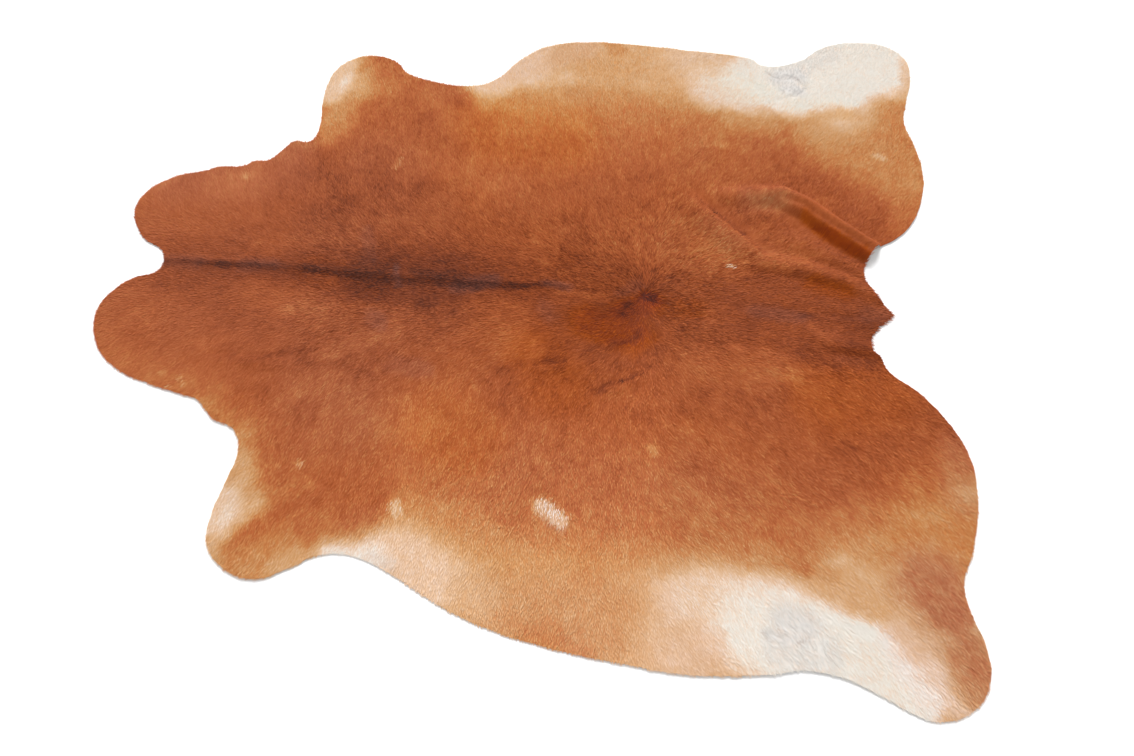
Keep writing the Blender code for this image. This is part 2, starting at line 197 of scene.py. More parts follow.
# A soft patch of one tone round a line from one place to another.  It is full
# within its reach, fades over its blend, and covers what lies below it by its
# strength.  Later patches lie over earlier ones, and those of one name make one
# mark together.
Patch = namedtuple("Patch", "name along across end_along end_across reach blend tone strength")
PATCHES = (
    # Neck and shoulders.
    Patch("far cheek", -1.06, 0.20, -0.82, 0.24, 0.07, 0.12, 0.40, 0.8),
    Patch("far throat", -0.90, 0.29, -0.82, 0.28, 0.02, 0.07, 0.50, 0.8),
    Patch("near cheek", -1.06, -0.20, -0.92, -0.27, 0.07, 0.12, 0.40, 0.8),
    Patch("near throat", -0.92, -0.36, -0.76, -0.40, 0.01, 0.06, 0.50, 0.8),
    Patch("far shoulder", -0.66, 0.18, -0.46, 0.36, 0.08, 0.14, 0.24, 0.9),
    Patch("near shoulder", -0.72, -0.17, -0.50, -0.22, 0.05, 0.10, 0.27, 0.8),
    Patch("near shoulder blade", -0.52, -0.38, -0.38, -0.42, 0.05, 0.12, 0.36, 0.9),
    Patch("far foreleg", -0.48, 0.42, -0.40, 0.64, 0.09, 0.10, 0.42, 1.0),
    Patch("far armpit", -0.52, 0.76, -0.28, 0.68, 0.05, 0.06, 0.47, 1.0),
    Patch("near foreleg", -0.45, -0.46, -0.40, -0.64, 0.10, 0.10, 0.44, 1.0),
    Patch("near knee", -0.58, -0.80, -0.46, -0.72, 0.03, 0.07, 0.56, 1.0),
    Patch("near shin gold", -0.645, -0.57, -0.608, -0.655, 0.020, 0.045, 0.76, 0.9),
    Patch("near shin stripe", -0.620, -0.777, -0.585, -0.741, 0.004, 0.026, 0.40, 0.75),
    Patch("near shin stripe", -0.585, -0.741, -0.567, -0.712, 0.003, 0.022, 0.40, 0.70),
    Patch("near shin stripe", -0.567, -0.712, -0.536, -0.682, 0.003, 0.022, 0.40, 0.70),
    Patch("near shin stripe", -0.536, -0.680, -0.462, -0.632, 0.004, 0.024, 0.40, 0.70),
    Patch("far shin gold", -0.64, 0.50, -0.60, 0.76, 0.015, 0.07, 0.68, 1.0),
    Patch("far shin", -0.68, 0.65, -0.655, 0.77, 0.022, 0.05, 0.88, 1.0),
    Patch("near shin", -0.680, -0.605, -0.668, -0.700, 0.028, 0.05, 0.91, 1.0),
    Patch("near shin edge", -0.67, -0.50, -0.66, -0.58, 0.008, 0.05, 0.66, 0.8),
    # Far belly and hind leg.
    Patch("far ribs", -0.20, 0.50, 0.25, 0.40, 0.08, 0.15, 0.45, 0.7),
    Patch("far belly gold", -0.185, 0.68, 0.02, 0.70, 0.02, 0.09, 0.70, 0.9),
    Patch("far belly front", -0.20, 0.75, -0.06, 0.86, 0.05, 0.06, 0.87, 1.0),
    Patch("far belly", 0.08, 0.88, 0.30, 0.90, 0.06, 0.10, 0.79, 1.0),
    Patch("far belly mark", 0.17, 0.94, 0.19, 0.91, 0.01, 0.03, 0.66, 0.8),
    Patch("far belly back", 0.44, 0.92, 0.50, 0.79, 0.03, 0.13, 0.88, 1.0),
    Patch("far flank cream", 0.505, 0.780, 0.76, 0.745, 0.022, 0.10, 0.945, 1.0),
    Patch("far flank white", 0.64, 0.850, 0.74, 0.82, 0.065, 0.09, 1.0, 1.0),
    Patch("far leg white", 0.70, 0.815, 0.89, 0.820, 0.030, 0.10, 1.0, 1.0),
    Patch("far leg white", 0.80, 0.88, 1.00, 0.92, 0.085, 0.09, 1.01, 1.0),
    Patch("far leg white", 0.90, 0.97, 1.02, 0.98, 0.09, 0.06, 1.01, 1.0),
    Patch("far toe edge", 1.115, 0.94, 1.115, 0.85, 0.01, 0.05, 0.85, 0.7),
    Patch("far heel tan", 0.79, 0.635, 0.91, 0.64, 0.03, 0.05, 0.76, 0.8),
    Patch("far rump tan", 0.86, 0.60, 1.00, 0.52, 0.04, 0.13, 0.69, 0.8),
    Patch("far hock", 1.07, 0.73, 1.06, 0.62, 0.02, 0.05, 0.62, 0.8),
    Patch("far rump", 1.06, 0.38, 1.02, 0.34, 0.02, 0.09, 0.54, 0.6),
    Patch("far thigh", 0.70, 0.44, 0.92, 0.33, 0.02, 0.09, 0.30, 0.9),
    Patch("far hip", 0.72, 0.53, 0.66, 0.50, 0.02, 0.09, 0.46, 0.6),
    Patch("far loin", 0.10, 0.20, 0.60, 0.24, 0.04, 0.10, 0.35, 0.8),
    # Near belly and hind leg.
    Patch("near ribs", -0.20, -0.42, 0.00, -0.46, 0.05, 0.15, 0.48, 0.6),
    Patch("near belly gold", -0.22, -0.670, 0.00, -0.72, 0.02, 0.07, 0.68, 0.9),
    Patch("near belly front", -0.26, -0.765, -0.165, -0.795, 0.038, 0.095, 0.89, 1.0),
    Patch("near armpit edge", -0.50, -0.810, -0.43, -0.782, 0.006, 0.040, 0.68, 0.9),
    Patch("near armpit", -0.374, -0.770, -0.30, -0.772, 0.016, 0.055, 0.97, 1.0),
    Patch("near belly", 0.05, -0.82, 0.30, -0.86, 0.05, 0.09, 0.705, 1.0),
    Patch("near belly mark", 0.08, -0.92, 0.20, -0.94, 0.005, 0.045, 0.62, 0.8),
    Patch("near belly back", 0.41, -0.90, 0.46, -0.81, 0.03, 0.12, 0.88, 1.0),
    Patch("near flank cream", 0.43, -0.80, 0.62, -0.79, 0.02, 0.08, 0.92, 1.0),
    Patch("near flank white", 0.60, -0.87, 0.68, -0.86, 0.05, 0.11, 1.0, 1.0),
    Patch("near leg white", 0.66, -0.87, 0.84, -0.925, 0.06, 0.06, 1.0, 1.0),
    Patch("near leg white", 0.84, -0.915, 0.895, -0.970, 0.056, 0.07, 1.0, 1.0),
    Patch("near shank cream", 0.90, -0.880, 0.970, -0.965, 0.014, 0.055, 0.91, 1.0),
    Patch("near heel tan", 0.77, -0.72, 0.88, -0.79, 0.03, 0.05, 0.80, 0.9),
    Patch("near heel brown", 0.62, -0.675, 0.69, -0.675, 0.01, 0.05, 0.60, 0.6),
    Patch("near hock", 0.98, -0.700, 1.02, -0.785, 0.033, 0.045, 0.53, 1.0),
    Patch("near hock glow", 0.885, -0.845, 0.932, -0.875, 0.012, 0.036, 0.85, 0.9),
    Patch("near shank white", 0.86, -0.905, 0.925, -0.992, 0.028, 0.042, 0.99, 1.0),
    Patch("near toe", 1.060, -0.880, 1.070, -0.950, 0.028, 0.045, 0.59, 1.0),
    Patch("near rump tan", 0.96, -0.60, 1.10, -0.56, 0.04, 0.09, 0.66, 0.8),
    Patch("near rump", 0.90, -0.48, 1.00, -0.46, 0.02, 0.08, 0.46, 0.7),
    Patch("near buttock", 0.66, -0.36, 1.02, -0.30, 0.06, 0.10, 0.32, 0.8),
    Patch("near thigh", 0.72, -0.50, 0.86, -0.44, 0.03, 0.09, 0.345, 0.7),
    Patch("near loin", 0.42, -0.23, 0.62, -0.22, 0.02, 0.05, 0.43, 0.7),
    Patch("near back", 0.00, -0.27, 0.30, -0.30, 0.04, 0.10, 0.28, 0.8),
    Patch("near withers", -0.18, -0.22, -0.08, -0.20, 0.03, 0.07, 0.37, 0.6),
    # Spine and croup.
    Patch("neck shade", -0.98, -0.03, -0.60, 0.02, 0.01, 0.08, 0.22, 0.8),
    Patch("spine shade", -0.60, 0.01, 0.06, 0.015, 0.02, 0.11, 0.18, 0.9),
    Patch("spine smudge", -0.46, 0.00, -0.20, 0.01, 0.02, 0.08, 0.13, 0.8),
    Patch("far smudge", -0.30, 0.05, -0.22, 0.06, 0.01, 0.05, 0.10, 0.5),
    Patch("near smudge", -0.46, -0.05, -0.20, -0.06, 0.01, 0.04, 0.12, 0.5),
    Patch("neck spine", -1.00, -0.004, -0.60, 0.004, 0.004, 0.020, 0.15, 0.65),
    Patch("spine", -1.00, -0.002, -0.60, 0.008, 0.002, 0.012, 0.10, 0.80),
    Patch("spine", -0.60, 0.008, -0.45, -0.004, 0.004, 0.020, 0.03, 0.85),
    Patch("spine", -0.45, -0.004, -0.35, -0.010, 0.006, 0.022, 0.07, 0.8),
    Patch("spine", -0.35, -0.008, -0.25, -0.002, 0.005, 0.022, 0.05, 0.85),
    Patch("spine", -0.25, 0.000, -0.15, -0.010, 0.005, 0.022, 0.02, 0.85),
    Patch("spine", -0.15, -0.010, -0.05, 0.000, 0.004, 0.018, 0.02, 0.85),
    Patch("croup shade", 0.06, 0.03, 0.30, 0.03, 0.02, 0.09, 0.20, 0.6),
    Patch("croup light", 0.09, -0.008, 0.20, -0.014, 0.003, 0.014, 0.34, 0.8),
    Patch("spine", -0.05, 0.000, 0.00, 0.003, 0.004, 0.013, 0.02, 0.9),
    Patch("spine", 0.00, 0.003, 0.05, 0.013, 0.003, 0.012, 0.03, 0.85),
    Patch("spine", 0.05, 0.013, 0.10, 0.004, 0.002, 0.009, 0.08, 0.75),
    Patch("crest mark", -0.845, -0.002, -0.825, -0.008, 0.003, 0.012, 0.03, 0.6),
    Patch("withers wisp", -0.368, 0.024, -0.354, -0.018, 0.002, 0.012, 0.16, 0.5),
    Patch("withers wisp", -0.460, 0.040, -0.470, 0.015, 0.002, 0.012, 0.18, 0.4),
    Patch("croup smudge", 0.14, -0.09, 0.25, -0.05, 0.02, 0.05, 0.15, 0.8),
    Patch("croup streak", 0.16, -0.085, 0.245, -0.062, 0.005, 0.026, 0.12, 0.5),
    Patch("croup mark", 0.257, -0.028, 0.260, -0.036, 0.004, 0.011, 0.06, 0.7),
    Patch("croup mark", 0.250, -0.067, 0.256, -0.058, 0.004, 0.012, 0.09, 0.5),
    Patch("croup mark", 0.24, -0.13, 0.27, -0.12, 0.01, 0.05, 0.15, 0.6),
    Patch("near croup", 0.02, -0.15, 0.90, -0.15, 0.02, 0.07, 0.22, 0.7),
    Patch("tail shade", 0.36, -0.02, 0.92, -0.03, 0.02, 0.10, 0.205, 0.8),
    # Painted shade along the foot of the far tail fold.
    Patch("far tail shade", 0.62, 0.09, 0.83, 0.06, 0.01, 0.04, 0.18, 0.4),
    Patch("near tail shade", 0.72, -0.14, 0.90, -0.14, 0.01, 0.05, 0.15, 0.7),
    Patch("tail glow", 0.75, -0.065, 0.80, -0.09, 0.004, 0.022, 0.23, 0.6),
    Patch("tail streak", 0.60, -0.025, 0.93, -0.025, 0.004, 0.020, 0.13, 0.5),
    Patch("whorl shade", 0.290, 0.008, 0.330, 0.000, 0.006, 0.030, 0.10, 0.7),
    Patch("whorl", 0.300, 0.002, 0.308, -0.004, 0.004, 0.014, 0.03, 0.9),
    Patch("whorl", 0.314, -0.002, 0.328, -0.008, 0.006, 0.014, 0.02, 0.9),
)

# All marks are placed as the camera sees them on the floor.  The coat lies
# higher, so on it they are this much nearer.
MARK_SHIFT = 0.005
# How far the marks' borders stray along the hide and across it.
STRAYS_ALONG = (Wave(0.07, 0.009, 1), Wave(0.022, 0.006, 2))
STRAYS_ACROSS = (Wave(0.07, 0.009, 3), Wave(0.022, 0.006, 4))
# Across the spine they stray less, so that its stripe stays straight: by this
# share up to the stripe's edge, and in full beyond the blend.
SPINE_STRAY = 0.2
SPINE_EDGE = 0.02
SPINE_BLEND = 0.10

# Small lighter and darker clouds on top of the patches, by how much they
# change the tone.  Some are painted light: painted shade in the hollows of the
# folds and creases, and painted highlights on the tops of the folds.
Cloud = namedtuple("Cloud", "name along across end_along end_across reach blend change")
CLOUDS = (
    # Neck.
    Cloud("crest", -0.90, -0.010, -0.62, -0.006, 0.005, 0.045, -0.05),
    Cloud("far crest", -0.72, 0.08, -0.62, 0.10, 0.01, 0.05, 0.07),
    Cloud("far neck", -0.76, 0.18, -0.68, 0.26, 0.02, 0.07, 0.06),
    Cloud("near crest", -0.64, -0.105, -0.57, -0.110, 0.02, 0.05, 0.12),
    Cloud("near crest", -0.78, -0.08, -0.72, -0.08, 0.01, 0.05, 0.05),
    Cloud("near neck", -0.72, -0.23, -0.64, -0.22, 0.01, 0.05, 0.06),
    # Painted shade along the near neck crease.
    Cloud("near neck crease", -0.80, -0.284, -0.66, -0.276, 0.003, 0.014, -0.06),
    Cloud("near neck crease", -0.66, -0.276, -0.56, -0.250, 0.003, 0.014, -0.03),
    Cloud("near neck crease", -0.56, -0.282, -0.45, -0.282, 0.003, 0.014, -0.03),
    Cloud("near blade", -0.56, -0.350, -0.47, -0.335, 0.015, 0.045, 0.06),
    Cloud("spine haze", -0.32, 0.026, -0.10, 0.022, 0.002, 0.016, -0.06),
    Cloud("near cheek rim", -1.10, -0.18, -1.02, -0.32, 0.01, 0.05, 0.05),
    Cloud("near throat rim", -1.02, -0.33, -0.76, -0.36, 0.02, 0.06, 0.05),
    Cloud("far throat edge", -0.84, 0.36, -0.70, 0.43, 0.01, 0.04, 0.03),
    Cloud("near throat edge", -0.78, -0.425, -0.71, -0.454, 0.01, 0.045, 0.14),
    Cloud("near knee", -0.625, -0.475, -0.615, -0.485, 0.005, 0.030, 0.07),
    Cloud("near knee edge", -0.66, -0.46, -0.66, -0.56, 0.01, 0.05, 0.07),
    Cloud("far cheek rim", -1.12, 0.20, -1.05, 0.28, 0.00, 0.04, 0.07),
    # Shoulders.
    Cloud("far withers", -0.66, 0.13, -0.48, 0.15, 0.03, 0.06, 0.055),
    Cloud("near withers", -0.62, -0.20, -0.34, -0.22, 0.01, 0.06, 0.03),
    Cloud("near ribs", -0.38, -0.46, -0.14, -0.46, 0.01, 0.05, 0.03),
    Cloud("far shoulder", -0.57, 0.30, -0.54, 0.27, 0.01, 0.05, -0.06),
    Cloud("far shoulder", -0.48, 0.34, -0.45, 0.32, 0.02, 0.05, -0.11),
    Cloud("far shoulder", -0.56, 0.38, -0.42, 0.35, 0.03, 0.07, -0.05),
    Cloud("withers", -0.44, -0.02, -0.40, 0.10, 0.03, 0.07, -0.06),
    Cloud("near withers", -0.42, -0.095, -0.42, -0.10, 0.01, 0.04, -0.01),
    Cloud("near withers", -0.28, -0.085, -0.26, -0.095, 0.01, 0.04, -0.06),
    Cloud("near blade", -0.50, -0.25, -0.34, -0.175, 0.00, 0.05, 0.09),
    Cloud("near blade", -0.30, -0.21, -0.21, -0.15, 0.01, 0.04, -0.02),
    Cloud("near blade", -0.53, -0.42, -0.51, -0.43, 0.01, 0.05, -0.07),
    Cloud("near blade", -0.41, -0.30, -0.40, -0.31, 0.01, 0.04, -0.06),
    Cloud("near arm", -0.41, -0.55, -0.40, -0.57, 0.02, 0.05, -0.03),
    Cloud("near arm", -0.40, -0.672, -0.385, -0.670, 0.01, 0.030, 0.06),
    Cloud("near forearm", -0.60, -0.70, -0.50, -0.60, 0.01, 0.05, 0.085),
    Cloud("near toe", -0.63, -0.80, -0.48, -0.79, 0.02, 0.06, 0.11),
    Cloud("near armpit", -0.46, -0.690, -0.44, -0.680, 0.01, 0.030, -0.03),
    Cloud("far forearm", -0.60, 0.69, -0.50, 0.69, 0.02, 0.06, 0.09),
    Cloud("far knee", -0.63, 0.49, -0.60, 0.47, 0.01, 0.05, -0.08),
    Cloud("far arm", -0.38, 0.54, -0.28, 0.46, 0.02, 0.06, -0.07),
    Cloud("far armpit", -0.28, 0.66, -0.25, 0.64, 0.01, 0.04, -0.08),
    Cloud("near withers", -0.52, -0.12, -0.49, -0.13, 0.01, 0.04, 0.05),
    Cloud("near neck", -0.80, -0.25, -0.77, -0.26, 0.01, 0.04, 0.04),
    # Barrel.
    Cloud("far belly", -0.16, 0.67, 0.04, 0.65, 0.00, 0.04, -0.03),
    Cloud("far ribs", -0.12, 0.57, 0.10, 0.58, 0.01, 0.06, 0.08),
    Cloud("far ribs", -0.22, 0.34, -0.16, 0.30, 0.02, 0.06, 0.05),
    Cloud("far belly front", -0.05, 0.74, 0.03, 0.77, 0.01, 0.05, 0.09),
    Cloud("far back", 0.11, 0.12, 0.14, 0.17, 0.02, 0.05, -0.09),
    Cloud("far back", 0.08, 0.30, 0.32, 0.36, 0.05, 0.09, -0.06),
    Cloud("far back", 0.24, 0.41, 0.26, 0.36, 0.01, 0.05, -0.04),
    Cloud("near back", -0.14, -0.06, -0.03, -0.08, 0.02, 0.05, 0.08),
    Cloud("near back", 0.00, -0.30, 0.10, -0.31, 0.02, 0.06, 0.04),
    Cloud("near back", -0.10, -0.13, -0.06, -0.20, 0.01, 0.04, 0.04),
    Cloud("near back", -0.22, -0.30, -0.18, -0.31, 0.01, 0.04, 0.04),
    Cloud("far back", -0.38, 0.18, -0.28, 0.24, 0.02, 0.07, 0.06),
    Cloud("far back", -0.16, 0.25, 0.06, 0.25, 0.01, 0.06, 0.03),
    Cloud("far back", 0.00, 0.11, 0.02, 0.26, 0.01, 0.06, 0.05),
    Cloud("near back", -0.04, -0.19, 0.03, -0.22, 0.01, 0.05, 0.05),
    Cloud("far back", 0.30, 0.25, 0.56, 0.22, 0.02, 0.08, 0.035),
    Cloud("near loin", 0.21, -0.235, 0.23, -0.245, 0.01, 0.04, 0.04),
    Cloud("whorl", 0.28, -0.030, 0.30, -0.100, 0.010, 0.040, -0.06),
    Cloud("near back", -0.01, -0.155, 0.02, -0.185, 0.01, 0.05, 0.12),
    Cloud("near croup", 0.12, -0.05, 0.14, -0.08, 0.01, 0.04, 0.05),
    Cloud("near croup", 0.34, -0.045, 0.42, -0.055, 0.01, 0.04, -0.03),
    Cloud("near croup", 0.14, -0.080, 0.30, -0.070, 0.02, 0.05, -0.035),
    Cloud("far croup", 0.04, 0.080, 0.08, 0.085, 0.01, 0.04, 0.06),
    Cloud("near ribs", 0.05, -0.23, 0.11, -0.225, 0.00, 0.03, -0.07),
    Cloud("near loin", 0.22, -0.15, 0.29, -0.135, 0.00, 0.03, -0.07),
    Cloud("near elbow", -0.25, -0.600, -0.235, -0.600, 0.005, 0.030, 0.06),
    Cloud("near ribs", -0.13, -0.580, -0.10, -0.580, 0.01, 0.035, 0.05),
    Cloud("near ribs", 0.22, -0.34, 0.34, -0.30, 0.01, 0.06, 0.07),
    Cloud("near ribs", -0.30, -0.44, -0.24, -0.40, 0.02, 0.06, 0.05),
    Cloud("near ribs", -0.02, -0.36, 0.08, -0.38, 0.01, 0.05, -0.02),
    Cloud("near ribs", 0.37, -0.34, 0.40, -0.37, 0.01, 0.04, 0.06),
    Cloud("near flank", 0.41, -0.42, 0.42, -0.43, 0.01, 0.035, 0.07),
    Cloud("near flank", 0.26, -0.60, 0.38, -0.65, 0.02, 0.06, -0.04),
    Cloud("near flank", 0.70, -0.77, 0.74, -0.79, 0.00, 0.04, -0.05),
    Cloud("far belly", 0.10, 0.84, 0.24, 0.85, 0.02, 0.05, -0.03),
    # Painted shade along the croup, rib and loin creases.
    Cloud("croup crease", 0.185, -0.168, 0.280, -0.145, 0.001, 0.016, -0.05),
    Cloud("croup crease", 0.280, -0.145, 0.295, -0.115, 0.001, 0.014, -0.04),
    Cloud("rib crease", 0.040, -0.236, 0.090, -0.226, 0.002, 0.012, -0.08),
    Cloud("loin crease", 0.190, -0.296, 0.250, -0.268, 0.002, 0.012, -0.15),
    Cloud("loin crease", 0.250, -0.268, 0.335, -0.215, 0.002, 0.012, -0.16),
    Cloud("loin crease foot", 0.200, -0.330, 0.260, -0.300, 0.005, 0.030, 0.05),
    Cloud("back dab", -0.107, -0.310, -0.104, -0.320, 0.003, 0.012, 0.14),
    Cloud("blade dab", -0.495, -0.262, -0.478, -0.252, 0.003, 0.014, 0.12),
    Cloud("neck dab", -0.622, -0.128, -0.618, -0.132, 0.003, 0.010, 0.16),
    Cloud("neck dab", -0.757, 0.074, -0.752, 0.077, 0.003, 0.012, 0.14),
    Cloud("throat dab", -0.852, 0.298, -0.850, 0.306, 0.004, 0.014, 0.16),
    Cloud("rib dab", 0.338, -0.447, 0.344, -0.446, 0.006, 0.016, 0.22),
    Cloud("hip dab", 0.482, 0.395, 0.486, 0.375, 0.006, 0.020, 0.10),
    Cloud("hip dab", 0.520, 0.545, 0.526, 0.545, 0.004, 0.014, 0.12),
    Cloud("flank dab", -0.008, 0.145, -0.006, 0.160, 0.004, 0.016, 0.10),
    # Loin, croup and tail.
    # Painted shade in the flank crease and where the hind fold starts.
    Cloud("flank crease", 0.440, 0.352, 0.500, 0.300, 0.002, 0.009, -0.18),
    Cloud("flank crease", 0.500, 0.300, 0.570, 0.232, 0.002, 0.009, -0.19),
    Cloud("flank crease", 0.570, 0.232, 0.640, 0.170, 0.002, 0.009, -0.16),
    Cloud("hind fold start", 0.732, 0.400, 0.748, 0.376, 0.001, 0.012, -0.08),
    # Painted shade in the tail creases.
    Cloud("tail crease", 0.720, -0.020, 0.752, -0.026, 0.003, 0.012, -0.07),
    Cloud("tail crease", 0.842, -0.022, 0.860, -0.030, 0.003, 0.012, -0.06),
    Cloud("tail dab", 0.752, -0.070, 0.790, -0.102, 0.003, 0.018, 0.09),
    Cloud("tail edge", 0.860, -0.090, 0.900, -0.060, 0.015, 0.040, -0.07),
    Cloud("near loin", 0.40, -0.18, 0.46, -0.18, 0.02, 0.04, 0.10),
    Cloud("tail root", 0.49, -0.042, 0.53, -0.038, 0.005, 0.030, 0.07),
    Cloud("near rump", 0.56, -0.17, 0.68, -0.19, 0.02, 0.05, 0.13),
    Cloud("near rump", 0.72, -0.22, 0.74, -0.23, 0.01, 0.05, 0.06),
    Cloud("near rump", 0.44, -0.27, 0.46, -0.28, 0.01, 0.05, -0.05),
    # The first far tail cloud is painted shade on the near face of the far tail fold.
    Cloud("far tail", 0.60, 0.115, 0.64, 0.105, 0.00, 0.04, -0.03),
    Cloud("far tail", 0.85, 0.090, 0.90, 0.070, 0.006, 0.03, 0.06),
    Cloud("far croup", 0.64, 0.15, 0.72, 0.15, 0.01, 0.05, 0.11),
    Cloud("far croup", 0.46, 0.17, 0.62, 0.19, 0.01, 0.05, 0.06),
    Cloud("far croup", 0.36, 0.13, 0.56, 0.12, 0.01, 0.05, 0.095),
    Cloud("far hip", 0.57, 0.285, 0.68, 0.265, 0.01, 0.04, -0.06),
    Cloud("far hip", 0.40, 0.33, 0.42, 0.33, 0.00, 0.04, 0.06),
    # Painted highlights on the tops of the hind fold and the flank fold.
    Cloud("hind fold top", 0.62, 0.350, 0.675, 0.350, 0.012, 0.04, 0.17),
    Cloud("flank fold top", 0.46, 0.255, 0.54, 0.190, 0.01, 0.03, 0.05),
    # Painted shade on the hind fold's near face and at its feet, and a painted highlight on its
    # crest.
    Cloud("hind fold face", 0.735, 0.318, 0.80, 0.256, 0.002, 0.026, -0.06),
    Cloud("hind fold face", 0.780, 0.270, 0.915, 0.172, 0.004, 0.024, -0.08),
    Cloud("hind fold crest", 0.79, 0.320, 0.87, 0.258, 0.004, 0.014, 0.02),
    Cloud("hind fold back", 0.58, 0.400, 0.70, 0.405, 0.004, 0.020, -0.06),
    Cloud("hind fold foot", 0.79, 0.215, 0.88, 0.165, 0.010, 0.025, -0.07),
    # Far hind leg.
    Cloud("far thigh", 0.67, 0.50, 0.70, 0.52, 0.01, 0.05, -0.07),
    Cloud("far thigh", 0.49, 0.57, 0.53, 0.63, 0.01, 0.04, 0.05),
    Cloud("far thigh", 0.56, 0.65, 0.64, 0.65, 0.01, 0.05, 0.08),
    Cloud("far flank", 0.585, 0.705, 0.61, 0.700, 0.005, 0.030, 0.05),
    Cloud("far flank", 0.52, 0.69, 0.56, 0.68, 0.00, 0.035, -0.06),
    Cloud("far flank", 0.64, 0.68, 0.68, 0.68, 0.00, 0.035, -0.03),
    Cloud("far flank", 0.26, 0.77, 0.34, 0.76, 0.00, 0.05, 0.06),
    Cloud("far heel", 0.87, 0.690, 0.94, 0.720, 0.02, 0.06, 0.11),
    Cloud("far heel", 0.82, 0.645, 0.88, 0.650, 0.02, 0.05, 0.05),
    Cloud("far hock edge", 0.97, 0.675, 1.01, 0.665, 0.01, 0.040, 0.06),
    Cloud("far rump edge", 1.08, 0.46, 1.085, 0.50, 0.01, 0.040, 0.06),
    Cloud("far toe", 1.04, 0.82, 1.10, 0.85, 0.01, 0.045, -0.03),
    Cloud("far rump", 0.96, 0.38, 1.07, 0.42, 0.02, 0.06, 0.08),
    # Near flank and hind leg.
    Cloud("near thigh", 0.50, -0.52, 0.60, -0.60, 0.03, 0.08, -0.06),
    Cloud("near flank", 0.06, -0.62, 0.24, -0.74, 0.02, 0.08, -0.05),
    Cloud("near flank", 0.64, -0.56, 0.68, -0.71, 0.01, 0.05, -0.05),
    Cloud("near flank", 0.36, -0.90, 0.42, -0.89, 0.01, 0.05, -0.03),
    Cloud("near belly", -0.05, -0.77, -0.03, -0.84, 0.01, 0.05, 0.07),
    Cloud("near belly", 0.27, -0.76, 0.33, -0.78, 0.01, 0.05, 0.05),
    Cloud("near belly edge", 0.03, -0.89, 0.12, -0.90, 0.01, 0.04, -0.04),
    Cloud("near leg border", 0.74, -0.80, 0.86, -0.85, 0.00, 0.04, 0.07),
    Cloud("near buttock", 0.80, -0.42, 0.94, -0.44, 0.02, 0.07, -0.03),
    Cloud("near rump edge", 1.08, -0.40, 1.10, -0.47, 0.02, 0.06, 0.14),
    Cloud("near heel", 0.74, -0.720, 0.755, -0.725, 0.005, 0.030, -0.06),
    Cloud("near heel", 0.86, -0.700, 0.88, -0.705, 0.010, 0.040, 0.05),
    Cloud("near heel", 0.80, -0.65, 0.86, -0.64, 0.01, 0.06, 0.08),
    Cloud("near hock", 0.99, -0.48, 1.01, -0.54, 0.02, 0.05, 0.06),
    Cloud("near hock", 0.91, -0.74, 0.92, -0.76, 0.01, 0.04, -0.08),
    Cloud("near toe", 1.045, -0.955, 1.035, -0.990, 0.01, 0.03, 0.08),
    Cloud("near toe", 1.08, -0.84, 1.09, -0.87, 0.01, 0.03, 0.05),
)

# The coat's uneven shade, from patches of a hand's breadth down to tufts.
MOTTLES = (Wave(0.15, 0.022, 5), Wave(0.060, 0.021, 6), Wave(0.028, 0.021, 7))
# Uneven shade in streaks.  These steps along the hair, averaged, draw it out.
STREAKS = (Wave(0.020, 0.022, 8), Wave(0.010, 0.055, 9), Wave(0.0050, 0.140, 10))
STREAK_STEPS = (-0.011, -0.0055, 0.0, 0.0055, 0.011)

# Pale and dark hair is more even than the rest: the share of the unevenness
# that is gone there, the tone where it starts to go, and over how much tone.
Calm = namedtuple("Calm", "share start over")
SHADE_CALMS = (Calm(0.84, 0.50, 0.30), Calm(0.80, 0.28, -0.18))
LIFE_CALMS = (Calm(0.40, 0.70, 0.20), Calm(0.50, 0.24, -0.16))
